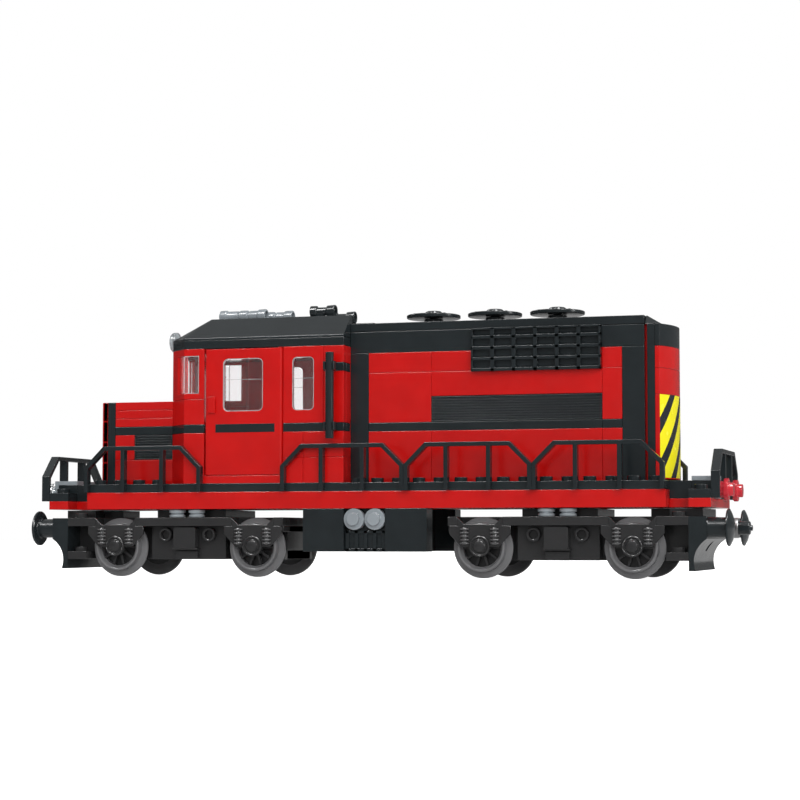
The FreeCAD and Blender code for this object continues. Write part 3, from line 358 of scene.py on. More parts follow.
def hazard_print(name, period, width, lean, start):
    """Yellow and black stripes leaning across the panel; lengths are in millimetres."""
    material, tree, shader = new_material(name)
    _, aside, height = coordinates(tree, "ShaderNodeTexCoord", "Object")
    rise = calculate(tree, "SUBTRACT", height, calculate(tree, "MULTIPLY", aside, lean))
    shifted = calculate(tree, "SUBTRACT", rise, start * MM)
    share = calculate(tree, "FRACT", calculate(tree, "DIVIDE", shifted, period * MM))
    yellow = calculate(tree, "LESS_THAN", share, width / period)
    gloss = uneven_gloss(tree, surface_noise(tree, 260.0, 5.0), (0.3, 0.2), (0.75, 0.3))
    fill(tree, shader, {"Base Color": ramp(tree, yellow, [(0.0, (0.016, 0.020, 0.026)),
                                                          (1.0, (1.0, 0.90, 0.0))]),
                        "Roughness": gloss})
    return material


RED = moulded("red plastic", (0.60, 0.005, 0.0042))
BLACK = moulded("black plastic", (0.0162, 0.0215, 0.0240), 0.19, 0.1)
# The bogies and axle boxes take a lighter copy of the black plastic: painted light for the light
# that falls on them from below and in front.
BOGIE_PAINTED_LIGHT = moulded("bogie plastic", (0.030, 0.030, 0.031), 0.21, 0.1)
GREY = moulded("light grey plastic", (0.30, 0.335, 0.36), 0.22)
WHEEL = moulded("wheel plastic", (0.03, 0.03, 0.031), 0.18, 0.08)
# The tyres take a lighter copy of the black wheel plastic: painted light standing in for the light
# caught on their treads and flanges.
TYRE_PAINTED_LIGHT = moulded("tyre plastic with painted light", (0.17, 0.17, 0.175), 0.15, 0.08)
# The springs take a lighter, glossier copy of the black plastic: a painted highlight on the coils.
SPRING_PAINTED_HIGHLIGHT = moulded("spring plastic with painted highlight", (0.10, 0.10, 0.102), 0.12, 0.1)
CLEAR = clear_plastic("clear plastic", (0.96, 0.98, 0.98))
LAMP = clear_plastic("lamp plastic", (0.50, 0.54, 0.56), 0.08, 0.6)
PANE = clear_plastic("window plastic", (0.97, 0.96, 0.965), 0.02, 1.0)
# The window rims and seams take a pale, half-frosted pinkish plastic: a painted highlight along
# the rims of the clear inserts.
PANE_EDGE_HIGHLIGHT = clear_plastic("window edge painted highlight", (0.90, 0.78, 0.79), 0.12, 0.5)
RED_LENS = clear_plastic("red lens", (0.80, 0.045, 0.065), 0.1, 0.25)
STEEL = metal("axle steel", (0.56, 0.56, 0.58), 0.3)
MAGNET = metal("magnet nickel", (0.40, 0.40, 0.40), 0.35)
STRIPE_LEAN = 1.42   # rise of a hazard stripe over its run
HAZARD = hazard_print("hazard print", 15.25, 9.3, STRIPE_LEAN, 42.6 + STRIPE_LEAN * 16)
GREEN = moulded("green button", (0.02, 0.25, 0.05), 0.35)
CELLS = moulded("cell wrap", (0.03, 0.03, 0.035), 0.3)
NYLON = moulded("white nylon", (0.65, 0.65, 0.6), 0.4)


# ---- chassis ----
def base():
    """Red base: a top sheet with skirts, cross walls, king-pin towers and underside tubes."""
    red = shape()
    skin = PLATE / 2
    inside = HALF_W - skin
    rooms = [(-MAIN_HALF + skin, -BOGIE_X - PITCH), (-BOGIE_X + PITCH, -3 * PITCH - skin),
             (-3 * PITCH + skin, 3 * PITCH - skin), (3 * PITCH + skin, BOGIE_X - PITCH),
             (BOGIE_X + PITCH, MAIN_HALF - skin)]
    block(red, (-MAIN_HALF, MAIN_HALF), BASE_Y, (BASE_LOW, BASE_TOP))
    holes = shape()
    for room in rooms:
        block(holes, room, (-inside, inside), (BASE_LOW - 1, BASE_TOP - skin))
    for end in SIDES:
        rod(holes, (end * BOGIE_X, 0, BASE_LOW - 1), UP, 4.0, 6.0)
        rod(holes, (end * BOGIE_X, 0, STEP_TOP + skin), UP, 6.2, 4.0)
    red = carve(red, holes)
    for end in SIDES:
        notch = end * (MAIN_HALF + PITCH)
        block(red, (end * MAIN_HALF, notch), HOOD_Y, (BASE_LOW, STEP_TOP))
        block(red, (notch, end * END_HALF), BASE_Y, (BASE_LOW, STEP_TOP))
    for low, high in rooms:
        column = math.ceil((low + 2) / PITCH)
        while column * PITCH < high - 2:
            for row in range(-2, 3):
                foot = (column * PITCH, row * PITCH, BASE_LOW + 0.05)
                ring_lathe(red, [(3.25, 0), (2.4, 0), (2.4, 4.8), (3.25, 4.8)], foot, segments=24)
            column += 1
    piece("base_visual", red, RED, ["base_plate"])


def deck():
    """Black walkway with studs along its edges, and the stepped ends."""
    black = shape()
    block(black, (-MAIN_HALF, MAIN_HALF), BASE_Y, (BASE_TOP, DECK_TOP))
    columns = [column + 0.5 for column in range(-14, 14) if not -10 <= column < -1]
    studs(black, [(column * PITCH, side * 2.5 * PITCH, DECK_TOP)
                  for column in columns for side in SIDES])
    piece("deck_visual", black, BLACK, ["deck_plate"])
    ends = shape()
    for end in SIDES:
        notch = end * (MAIN_HALF + PITCH)
        block(ends, (end * MAIN_HALF, notch), HOOD_Y, (STEP_TOP, DECK_TOP))
        block(ends, (notch, end * END_HALF), BASE_Y, (STEP_TOP, BASE_TOP))
        block(ends, (notch, end * END_HALF), HOOD_Y, (BASE_TOP, DECK_TOP))
        studs(ends, [(end * (MAIN_HALF + 1.5 * PITCH), side * 2.5 * PITCH, BASE_TOP)
                     for side in SIDES])
    stand_in("end_decks", ends, BLACK)


def round_plate(bm, centre, axis):
    """A round one-by-one plate with its stud, from its back face."""
    lathe(bm, [(3.0, 0), (3.0, 0.7), (3.95, 0.75), (3.95, PLATE), (STUD_R, PLATE),
               (STUD_R, PLATE + STUD_H)], centre, axis)


def lamps():
    """Grey brackets and two round lamps at each end."""
    grey = shape()
    for end, name, material in ((-1, "clear_lamps", CLEAR), (1, "red_lamps", RED_LENS)):
        lens, face, half = shape(), end * END_HALF, PLATE / 2
        block(grey, (face - end * PITCH, face), HOOD_Y, (DECK_TOP, DECK_TOP + half))
        for side in SIDES:
            block(grey, (face, face + end * half), (side * 9.0, side * 15.9),
                  (STEP_TOP, DECK_TOP + half))
            centre = (face + end * half, side * 1.5 * PITCH, BASE_TOP)
            studs(grey, [centre], (end, 0, 0))
            lathe(lens, [(3.0, 0), (3.0, half), (3.95, half), (3.95, PLATE), (STUD_R, PLATE),
                         (STUD_R, PLATE + STUD_H)], centre, (end, 0, 0))
        stand_in(name, lens, material)
    stand_in("lamp_brackets", grey, GREY)


def railing_outline():
    """The comb-shaped outline of a six-stud railing."""
    bar, height = 1.6, 17.6
    half, shoulder = 3 * PITCH, height - PITCH
    corner = bar * math.tan(math.radians(22.5))
    post, other = PITCH + bar / 2, PITCH - bar / 2
    right = [(half, 0), (half - bar, 0), (half - bar, shoulder - corner),
             (2 * PITCH - corner, height - bar), (post, height - bar), (post, 0), (other, 0),
             (other, height - bar)]
    left = [(-across, up) for across, up in reversed(right)]
    return right + left + [(-half, shoulder), (-2 * PITCH, height), (2 * PITCH, height),
                           (half, shoulder)]


def railings():
    """Railings along both walkways and across both ends."""
    outline = railing_outline()
    along = shape()
    for side in SIDES:
        for middle in (-11, -1, 5, 11):
            prism(along, [(middle * PITCH + across, BASE_TOP + up) for across, up in outline],
                  "y", side * HALF_W, side * (HALF_W + PLATE))
    stand_in("side_railings", along, BLACK, bevel=0.2)
    across_ends = shape()
    for end in SIDES:
        prism(across_ends, [(across, STEP_TOP + up) for across, up in outline],
              "x", end * END_HALF, end * (END_HALF + PLATE))
    stand_in("end_railings", across_ends, BLACK, bevel=0.2)


def underframe():
    """Equipment tank with its recess, slotted tiles, and the grey round plates."""
    low = BASE_LOW - 5 * PLATE
    black = shape()
    recess = HALF_W - PLATE
    block(black, (-PITCH, PITCH), (-recess, recess), (low, BASE_LOW))
    for end in SIDES:
        block(black, (end * PITCH, end * 2 * PITCH), HOOD_Y, (low, BASE_LOW))
        for side in SIDES:
            brick(black, (end * PITCH, end * 3 * PITCH), (side * HOOD_HALF, side * HALF_W),
                  (low, BASE_LOW))
    piece("tank_visual", black, BLACK, ["underframe_tank"])
    tiles = shape()
    for side in SIDES:
        z = (low + 0.2, BASE_LOW - PITCH - 0.2)
        back = side * recess
        block(tiles, (-7.9, 7.9), (back, back + side * 0.8), z)
        for bar_z in ((z[0], z[0] + 1.0), (z[1] - 1.0, z[1])):
            block(tiles, (-7.9, 7.9), (back, back + side * 1.6), bar_z)
        for column in range(-2, 3):
            middle = column * 3.55
            block(tiles, (middle - 0.75, middle + 0.75), (back, back + side * 1.6), z)
    piece("tank_grilles_visual", tiles, BLACK, bevel=0.12)
    grey = shape()
    for side in SIDES:
        for column in SIDES:
            round_plate(grey, (column * PITCH / 2, side * recess, BASE_LOW - PITCH / 2),
                        (0, side, 0))
    piece("round_plates_visual", grey, GREY, ["grey_round_plates"])


# ---- short hood ----
def ribs(bm, xs, zs, outer, side, count=10):
    """A panel of level ribs between two heights."""
    low, high = min(zs), max(zs)
    pitch = (high - low) / count
    block(bm, xs, (outer - side * 2.0, outer - side * 0.75), zs)
    for row in range(count):
        base_z = low + row * pitch
        outline = [(outer - side * 0.8, base_z + 0.08), (outer, base_z + 0.3),
                   (outer, base_z + 0.62), (outer - side * 0.8, base_z + 0.84)]
        prism(bm, outline, "x", *xs)


def nose_outline(end, inset=0.0, steps=24):
    """Plan of a bowed end: square tips and one shallow arc."""
    tip, bow = (2.0 - inset, 6.4 - inset) if end < 0 else (1.6 - inset, 6.0 - inset)
    start = end * (13 * PITCH + PLATE)
    sag = bow - tip
    radius = (HOOD_HALF ** 2 + sag ** 2) / (2 * sag)
    sweep = math.asin(HOOD_HALF / radius)
    arc = []
    for step in range(steps + 1):
        angle = -sweep + 2 * sweep * step / steps
        arc.append((start + end * (bow - radius + radius * math.cos(angle)),
                    radius * math.sin(angle)))
    return [(start, -HOOD_HALF)] + arc + [(start, HOOD_HALF)]


def short_hood():
    """Red bricks and plates ahead of the cab, with a black end plate, stripe and grilles."""
    front, back = -13 * PITCH, CAB_FRONT
    skin = 0.75 * WALL
    red, black, grille = shape(), shape(), shape()
    grille_z = (DECK_TOP + 3 * PLATE, STRIPE_LOW)
    grille_x = (back - 2 * PITCH, back)
    for side in SIDES:
        y = (side * (HOOD_HALF - skin), side * HOOD_HALF)
        brick(red, (front, back), y, (DECK_TOP, DECK_TOP + 3 * PLATE))
        brick(red, (front, back - 2 * PITCH), y, grille_z)
        ribs(grille, grille_x, grille_z, side * HOOD_HALF, side)
        brick(black, (front, back), y, STRIPE_Z)
        for low in (STRIPE_TOP, STRIPE_TOP + PLATE):
            brick(red, (front, back), y, (low, low + PLATE))
    brick(red, (front, back), HOOD_Y, (SHORT_TOP - PLATE, SHORT_TOP))
    brick(red, (front, front + skin), (-HOOD_HALF + skin, HOOD_HALF - skin),
          (DECK_TOP, SHORT_TOP - PLATE))
    brick(black, (front - PLATE, front), HOOD_Y, (DECK_TOP, SHORT_TOP))
    stand_in("short_hood", red, RED)
    stand_in("short_hood_trim", black, BLACK)
    piece("short_hood_grilles_visual", grille, BLACK, bevel=0.08)


def noses():
    """Bowed ends in courses two and a half plates high, and the hazard panel."""
    red, black = shape(), shape()
    low = DECK_TOP + 0.6
    panel = (low + 0.5, low + 4 * PITCH - 1.5)
    level = low
    while level < SHORT_TOP - 1:
        prism(red, nose_outline(-1), "z", level + SEAM, min(level + PITCH, SHORT_TOP) - SEAM)
        level += PITCH
    prism(red, nose_outline(-1, 0.15), "z", low + 0.1, SHORT_TOP - 0.1)
    prism(red, nose_outline(1), "z", low, panel[1])
    prism(red, nose_outline(1), "z", panel[1] + 2 * SEAM, low + 5 * PITCH - SEAM)
    prism(red, nose_outline(1), "z", low + 5 * PITCH + SEAM, BEAM_LOW - SEAM)
    prism(black, nose_outline(1), "z", BEAM_LOW + SEAM, BEAM_TOP)
    piece("noses_visual", red, RED, ["red_noses"])
    tile = shape()
    arc_out, arc_in = ([point for point in nose_outline(1, inset, 240)[1:-1]
                        if abs(point[1]) < HOOD_HALF] for inset in (-0.04, 0.25))
    prism(tile, arc_out + arc_in[::-1], "z", panel[0], panel[1] - 0.06)
    piece("hazard_visual", tile, HAZARD, ["hazard_panel"], bevel=0.06)
    return black


# ---- cab ----
def cab_outline(inset):
    """Plan of the cab with its two front corners cut off."""
    front, back, side = CAB_FRONT + inset, CAB_BACK - inset, HALF_W - inset
    cheek = PITCH - inset * (2 - math.sqrt(2))
    return [(back, -side), (back, side), (front + cheek, side), (front, side - cheek),
            (front, cheek - side), (front + cheek, -side)]


def cab_front_ring(low, high):
    """The front of the cab's shell: both sheets of the side as far as the door, and the face."""
    outer, inner = cab_outline(0), cab_outline(WALL)
    edge = DOOR_FRONT + 0.2
    outline = [(edge, HALF_W), outer[2], outer[3], outer[4], outer[5], (edge, -HALF_W),
               (edge, -HALF_W + WALL), inner[5], inner[4], inner[3], inner[2],
               (edge, HALF_W - WALL)]
    return prism(shape(), outline, "z", low + SEAM, high - SEAM)


def join(*shapes):
    """Several shapes as one."""
    whole = shape()
    for bm in shapes:
        mesh = bpy.data.meshes.new("join")
        bm.to_mesh(mesh)
        bm.free()
        whole.from_mesh(mesh)
        bpy.data.meshes.remove(mesh)
    return whole


GLASS_Z = (DECK_TOP + 27.2, DECK_TOP + 47.2)
SHED_Z = (DECK_TOP + 34.2, DECK_TOP + 48.6)
SIDE_GLASS_X = (-28.4, -19.8)
DOOR_GLASS_X = (-56.2, -40.1)
REAR_WALL_X = (CAB_BACK - WALL, CAB_BACK)
FACE_X = (CAB_FRONT - 4, CAB_FRONT + 5)
CLIP_LOW = DECK_TOP + 13 * PLATE


def cab():
    """Red cab of bricks and window pieces, its black stripe, and the clear panes."""
    lower = cab_front_ring(DECK_TOP, STRIPE_LOW)
    middle = cab_front_ring(STRIPE_TOP, SHORT_TOP)
    upper = cab_front_ring(SHORT_TOP, CAB_TOP)
    windows = shape()
    for side in SIDES:
        block(windows, (-76.5, -66.0), (side * (HALF_W - 4.5), side * (HALF_W + 4)), SHED_Z)
        prism(windows, rounded((side * 1.6, side * 14.0), SHED_Z, 1.2), "x", *FACE_X)
    upper = carve(upper, windows)
    mouth = shape()
    block(mouth, FACE_X, INSIDE_Y, (DECK_TOP - 1, SHORT_TOP - WALL))
    red = join(carve(join(lower, middle), mouth), upper)
    black = cab_front_ring(*STRIPE_Z)
    gap = shape()
    block(gap, FACE_X, INSIDE_Y, (STRIPE_LOW - 1, STRIPE_TOP + 1))
    black = carve(black, gap)
    rear_edge = DOOR_BACK + 0.05
    for side in SIDES:
        y = (side * (HALF_W - WALL), side * HALF_W)
        corner = -2 * PITCH
        frame_piece = brick(shape(), (rear_edge, corner), y, (STRIPE_TOP, CAB_TOP))
        cutter = prism(shape(), rounded(SIDE_GLASS_X, GLASS_Z, 1.8), "y",
                       side * (HALF_W - 6), side * (HALF_W + 6))
        red = join(red, carve(frame_piece, cutter))
        for z in ((DECK_TOP, DECK_TOP + 3 * PLATE), (DECK_TOP + 3 * PLATE, STRIPE_LOW)):
            brick(red, (rear_edge, -3 * PITCH), y, z)
            brick(red, (-3 * PITCH, CAB_BACK), y, z)
        brick(black, (rear_edge, CAB_BACK), y, STRIPE_Z)
        for z in ((STRIPE_TOP, CLIP_LOW), (CLIP_LOW + PLATE, CAB_TOP)):
            brick(red, (corner, CAB_BACK), y, z)
        # the rear wall, beside the long hood
        wall_y = (side * HOOD_HALF, side * (HALF_W - WALL))
        for z in ((DECK_TOP, STRIPE_LOW), (STRIPE_TOP, CLIP_LOW), (CLIP_LOW + PLATE, CAB_TOP)):
            brick(red, REAR_WALL_X, wall_y, z)
        brick(black, REAR_WALL_X, wall_y, STRIPE_Z)
        # the sill plate below the door
        brick(red, (DOOR_FRONT + 0.25, rear_edge), y, (DECK_TOP, DECK_TOP + PLATE - 0.2))
    brick(red, REAR_WALL_X, HOOD_Y, (DECK_TOP, CAB_TOP))
    piece("cab_visual", red, RED, ["cab_walls"])
    stand_in("cab_trim", black, BLACK)
    panes = shape()
    for side in SIDES:
        set_in = HALF_W - 2.2
        prism(panes, rounded(trim(SIDE_GLASS_X, 0.08), trim(GLASS_Z, 0.08), 1.7), "y",
              side * set_in, side * (set_in + 1.6))
        prism(panes, rounded((side * 1.7, side * 13.9), trim(SHED_Z, 0.1), 1.1), "x",
              CAB_FRONT + 0.9, CAB_FRONT + 2.1)
        corner_pane = [(-66.1, side * (HALF_W - 0.6)), (-71.8, side * (HALF_W - 0.6)),
                       (-75.7, side * (HALF_W - 4.4)), (-74.0, side * (HALF_W - 4.4)),
                       (-71.3, side * (HALF_W - 1.8)), (-66.1, side * (HALF_W - 1.8))]
        prism(panes, corner_pane, "z", *trim(SHED_Z, 0.1))
    stand_in("cab_glazing", panes, PANE, bevel=0.2)
    edges = shape()
    for side in SIDES:
        face = side * HALF_W
        edges = join(edges, window_edge(SIDE_GLASS_X, GLASS_Z, 1.8, side, face))
        edges = join(edges, window_edge((-72.3, -66.0), SHED_Z, 0.7, side, face, seam=False))
    # pale rim plastic: painted highlight round the cab windows
    piece("cab_window_edges", edges, PANE_EDGE_HIGHLIGHT, bevel=0.08)


def window_edge(xs, zs, radius, side, face, seam=True):
    """The rim of a window's clear insert, level with the wall, and the seam across its pane."""
    outer, inner = (rounded(trim(xs, inset), trim(zs, inset), radius - inset)
                    for inset in (0.05, 0.28))
    rim = shape()
    loft(rim, [[rim.verts.new((across, face - side * depth, up)) for across, up in outline]
               for outline, depth in ((outer, 1.0), (outer, 0.12), (inner, 0.12), (inner, 1.0))],
         closed=True)
    if seam:
        height = zs[0] + 0.6 * (zs[1] - zs[0])
        block(rim, trim(xs, 0.2), (face - side * 0.75, face - side * 0.62),
              (height - 0.07, height + 0.07))
    return rim


def doors():
    """Cab doors with a window, a handle and a stripe, each on its own hinge."""
    hinge_x, thick = DOOR_BACK - 1.4, 2.4
    low, high = DECK_TOP + PLATE, CAB_TOP - 0.3
    for side, name in ((-1, "right"), (1, "left")):
        outer, inner = side * HALF_W, side * (HALF_W - thick)
        middle = side * (HALF_W - thick / 2)
        plan = [(hinge_x, inner), (DOOR_FRONT + 0.9, inner), (DOOR_FRONT + 0.9, outer),
                (hinge_x, outer)]
        start = math.pi / 2 * side
        for step in range(1, 9):
            angle = start - side * math.pi * step / 9
            plan.append(around((hinge_x, middle), thick / 2, angle))
        leaf = prism(shape(), plan, "z", low, high)
        cutter = prism(shape(), rounded(DOOR_GLASS_X, GLASS_Z, 2.0), "y",
                       inner - side * 4, outer + side * 4)
        leaf = carve(leaf, cutter)
        block(leaf, (-62.0, -59.0), (outer, outer + side * 1.2),
              (DECK_TOP + 26.6, DECK_TOP + 32.8))
        rod(leaf, (hinge_x, middle, low - 1.0), UP, 0.9, high - low + 1.6, 24)
        piece(name + "_door_visual", leaf, RED, [name + "_cab_door"], name + "_door")
        stripe = block(shape(), (-59.1, -35.3), (outer - side * 0.1, outer + side * 0.06),
                       STRIPE_Z)
        piece(name + "_door_stripe", stripe, BLACK, body=name + "_door", bevel=0.03)
        pane = prism(shape(), rounded(trim(DOOR_GLASS_X, 0.1), trim(GLASS_Z, 0.1), 1.9), "y",
                     inner + side * 0.5, inner + side * 1.7)
        piece(name + "_pane_visual", pane, PANE, [name + "_door_glazing"], name + "_door",
              bevel=0.2)
        # pale rim plastic: painted highlight round the door window
        piece(name + "_pane_edge", window_edge(DOOR_GLASS_X, GLASS_Z, 2.0, side, outer), PANE_EDGE_HIGHLIGHT,
              body=name + "_door", bevel=0.08)


def handrails():
    """Upright bars behind the doors, and their clips."""
    black = shape()
    rail_x, stand_off = -1.5 * PITCH, 4.6
    for side in SIDES:
        bar_y = side * (HALF_W + stand_off)
        rod(black, (rail_x, bar_y, 51.4), UP, PLATE / 2, 4 * PITCH)
        for low in (STRIPE_LOW, CLIP_LOW):
            brick(black, (rail_x - 1.5, rail_x + 1.5),
                  (side * (HALF_W - 0.1), bar_y - side * 1.9), (low, low + PLATE))
            outline = []
            opening, steps = math.radians(50), 20
            sweep = 2 * math.pi - 2 * opening
            for radius, order in ((2.5, range(steps + 1)), (1.62, range(steps, -1, -1))):
                for step in order:
                    angle = side * math.pi / 2 + opening + sweep * step / steps
                    outline.append(around((rail_x, bar_y), radius, angle))
            prism(black, outline, "z", low + SEAM, low + PLATE - SEAM)
        clip_z = (CLIP_LOW, CLIP_LOW + PLATE)
        brick(black, (CAB_BACK - PITCH, CAB_BACK), (side * (HALF_W - WALL), side * HALF_W), clip_z)
        brick(black, REAR_WALL_X, (side * HOOD_HALF, side * (HALF_W - WALL)), clip_z)
    piece("handrails_visual", black, BLACK, ["cab_handrails"])


def cab_roof():
    """Roof plate, sloping bricks round a sunken middle, the lamp on its mount, and the horns."""
    low, eaves, ridge = CAB_TOP, CAB_TOP + 4.0, CAB_TOP + 12.0
    floor_z, rim = CAB_TOP + 7.2, 2.4
    black = prism(shape(), cab_outline(0), "z", low + SEAM, low + PLATE - SEAM)
    locating = prism(shape(), cab_outline(WALL + 0.2), "z", low - PLATE / 2, low + 0.1)
    slopes = shape()
    corners = [slopes.verts.new((x, y, z)) for z in (low + PLATE + SEAM, eaves)
               for x, y in cab_outline(0)]
    top_front, top_side = CAB_FRONT + 2 * PITCH, HALF_W - PITCH
    high = [slopes.verts.new(point) for point in (
        (CAB_BACK, -top_side, ridge), (CAB_BACK, top_side, ridge),
        (top_front, top_side, ridge), (top_front, -top_side, ridge))]
    bottom, edge = corners[:6], corners[6:]
    faces = [bottom, high, [edge[0], edge[1], high[1], high[0]],
             [edge[1], edge[2], high[2], high[1]], [edge[2], edge[3], high[2]],
             [edge[3], edge[4], high[3], high[2]], [edge[4], edge[5], high[3]],
             [edge[5], edge[0], high[0], high[3]]]
    made = [slopes.faces.new(face) for face in faces] + bridge(slopes, bottom, edge)
    bmesh.ops.recalc_face_normals(slopes, faces=made)
    sunken = block(shape(), (top_front + rim, CAB_BACK + 3), (rim - top_side, top_side - rim),
                   (floor_z, ridge + 3))
    slopes = carve(slopes, sunken)
    studs(slopes, [(column * PITCH, row * PITCH, floor_z)
                   for column in (-6.5, -5.5, -4.5, -3.5, -1.5) for row in (-0.5, 0.5)])
    mount = block(shape(), (CAB_FRONT - 5.1, CAB_FRONT + PITCH), (-PITCH / 4, PITCH / 4),
                  (90.6, 92.8))
    stand_in("cab_roof", join(black, locating, slopes, mount), BLACK, "cab_roof_body")
    lens = shape()
    lathe(lens, [(2.4, 0), (3.95, 0.15), (3.95, 1.8), (3.5, 2.4), (1.8, 2.5), (0, 2.5)],
          (CAB_FRONT - 4.6, 0, 91.4), (-1, 0, 0))
    stand_in("roof_lamp", lens, LAMP, "cab_roof_body")
    grey, dark = shape(), shape()
    centre = ridge + 2.1
    for start, across in ((-65.1, -4), (-57.1, 4)):
        lathe(grey, [(0, 0), (1.9, 0), (2.4, 0.3), (2.5, 2.6), (2.1, 3.2), (2.1, 7.6), (1.7, 7.8),
                     (1.7, 8.2), (2.3, 8.4), (2.3, 11.4), (1.7, 11.6), (1.7, 12.2), (2.1, 12.4),
                     (2.1, 15.6), (2.5, 16.0), (2.6, 18.7), (2.4, 19.1), (1.8, 19.1), (1.5, 16.0),
                     (0, 16.0)], (start, across, centre), (1, 0, 0), 32)
        block(grey, (start + 8.5, start + 11.3), (across - 1.2, across + 1.2),
              (floor_z, ridge + 1.2))
    for across in (-12, 12):
        lathe(dark, [(0, 0), (1.5, 0), (2.2, 0.2), (2.2, 2.6), (1.6, 2.9), (1.6, 6.4), (2.2, 6.8),
                     (2.4, 9.8), (2.2, 10.1), (1.7, 10.1), (1.3, 7.6), (0, 7.6)],
              (-25.2, across, centre), (1, 0, 0), 32)
        block(dark, (-22.7, -19.8), (across - 1.2, across + 1.2), (floor_z, ridge + 1.2))
    stand_in("grey_horns", grey, GREY, "cab_roof_body", bevel=0.1)
    stand_in("black_horns", dark, BLACK, "cab_roof_body", bevel=0.1)


# ---- long hood ----
PANEL_X = (-0.8, 12 * PITCH - 0.8)
FRAME_BACK = 13 * PITCH - 0.6
GRILLE_X = (3 * PITCH, 11 * PITCH)
GRILLE_Z = (STRIPE_TOP, STRIPE_TOP + 3 * PLATE)
COURSE_TOP = BEAM_LOW - 7.5


def radiator(bm, side):
    """A grille standing out from the wall: six columns of four sloping slots."""
    left, right, columns, rows, depth = 39.4, 87.8, 6, 4, 2.6
    low, high = BEAM_LOW - PITCH, BEAM_TOP
    inner, outer = side * HOOD_HALF, side * (HOOD_HALF + depth)
    wide, tall = (right - left) / columns, (high - low) / rows
    block(bm, (left, right), (inner - side * 0.1, inner + side * 0.5), (low, high))
    bar = 0.75
    for column in range(columns + 1):
        x = left + column * wide
        span = (max(left, x - bar), min(right, x + bar))
        block(bm, span, (inner, outer), (low, high))
    for row in range(rows):
        base_z = low + row * tall
        outline = [(inner, base_z), (outer, base_z), (outer, base_z + 1.1), (inner, base_z + 2.1)]
        prism(bm, outline, "x", left, right)
    block(bm, (left, right), (inner, outer), (high - 0.7, high))


def long_hood():
    """Portal of black bricks, red panels in courses, stripes and grilles."""
    red, black, ribbed, lattice = shape(), shape(), shape(), shape()
    for side in SIDES:
        y = (side * (HOOD_HALF - WALL), side * HOOD_HALF)
        grid = (PANEL_X[0], GRILLE_X[0] - 0.5, GRILLE_X[1] - 0.1, PANEL_X[1])
        for xs, low in zip(zip(grid, grid[1:]), (STRIPE_TOP, GRILLE_Z[1], STRIPE_TOP)):
            for z in ((DECK_TOP, STRIPE_LOW), (low, COURSE_TOP), (COURSE_TOP, BEAM_LOW)):
                brick(red, xs, y, z)
        for xs, z in (((grid[0], grid[2]), STRIPE_Z), ((grid[2], grid[3]), STRIPE_Z),
                      ((CAB_BACK, PANEL_X[0]), (DECK_TOP, BEAM_LOW)),
                      ((PANEL_X[1], FRAME_BACK), (DECK_TOP, BEAM_LOW)),
                      ((CAB_BACK, FRAME_BACK), (BEAM_LOW, BEAM_TOP))):
            brick(black, xs, y, z)
        ribs(ribbed, (grid[1], grid[2]), GRILLE_Z, side * HOOD_HALF, side)
        radiator(lattice, side)
    for start in (CAB_BACK, FRAME_BACK - WALL):
        brick(black, (start, start + WALL), INSIDE_Y, (DECK_TOP, BEAM_TOP))
    block(red, (FRAME_BACK - 0.1, FRAME_BACK + 1.3), (-HOOD_HALF + 2.4, HOOD_HALF - 2.4),
          (DECK_TOP, BEAM_TOP))
    brick(black, (FRAME_BACK + 0.95, 13 * PITCH + PLATE), HOOD_Y, (DECK_TOP, BEAM_TOP))
    black = join(black, noses())
    stand_in("hood_walls", red, RED)
    stand_in("hood_trim", black, BLACK)
    stand_in("ribbed_grilles", ribbed, BLACK, bevel=0.08)
    piece("radiators_visual", lattice, BLACK, ["radiator_grilles"], bevel=0.12)


def hood_roof():
    """Roof strip with its end wedge and the fan feet, and the three fans."""
    black = shape()
    block(black, (CAB_BACK, FRAME_BACK), HOOD_Y, (BEAM_TOP + 0.1, HOOD_TOP))
    lip = WALL + 0.2
    block(black, (CAB_BACK + lip, FRAME_BACK - lip), (-HOOD_HALF + lip, HOOD_HALF - lip),
          (BEAM_TOP - PLATE / 2, BEAM_TOP + 0.2))
    start, end = FRAME_BACK + 0.35, 13 * PITCH + PLATE + 2.2
    inset, half = 2.4, HOOD_HALF
    low, high = BEAM_TOP + 0.02, HOOD_TOP
    wedge = shape()
    loft(wedge, [[wedge.verts.new(point) for point in loop] for loop in (
        ((start, -half, low), (end, -half, low), (end, half, low), (start, half, low)),
        ((start, inset - half, high), (start + 0.3, inset - half, high),
         (start + 0.3, half - inset, high), (start, half - inset, high)))])
    black = join(black, wedge)
    for number, x in enumerate((20, 44, 68), start=1):
        lathe(black, [(3.0, 0), (3.0, 0.6), (3.6, 0.65), (3.6, 2.4), (1.5, 2.4), (1.5, 4.8)],
              (x, 0, HOOD_TOP), segments=32)
        fan = shape()
        low_z = HOOD_TOP + 2.6
        ring_lathe(fan, [(1.55, 0), (9.9, 0), (10.2, 0.2), (10.2, 1.2), (9.7, 1.45), (8.6, 1.25),
                         (3.4, 1.75), (3.1, 2.6), (2.6, 2.9), (1.55, 2.9)], (x, 0, low_z),
                   segments=64)
        for turn in range(8):
            blade = block(shape(), (3.2, 8.6), (-0.35, 0.35), (1.0, 1.75))
            matrix = Matrix.Translation((x, 0, low_z)) @ Matrix.Rotation(
                math.radians(45 * turn), 4, "Z")
            bmesh.ops.transform(blade, matrix=matrix, verts=blade.verts)
            fan = join(fan, blade)
        rod(fan, (x, 0, low_z + 2.4), UP, 1.8, 0.62, 24)
        piece(f"fan_{number}_visual", fan, BLACK, [f"roof_fan_{number}"], f"fan_{number}",
              bevel=0.1)
    stand_in("hood_roof", black, BLACK, "hood_roof_body")


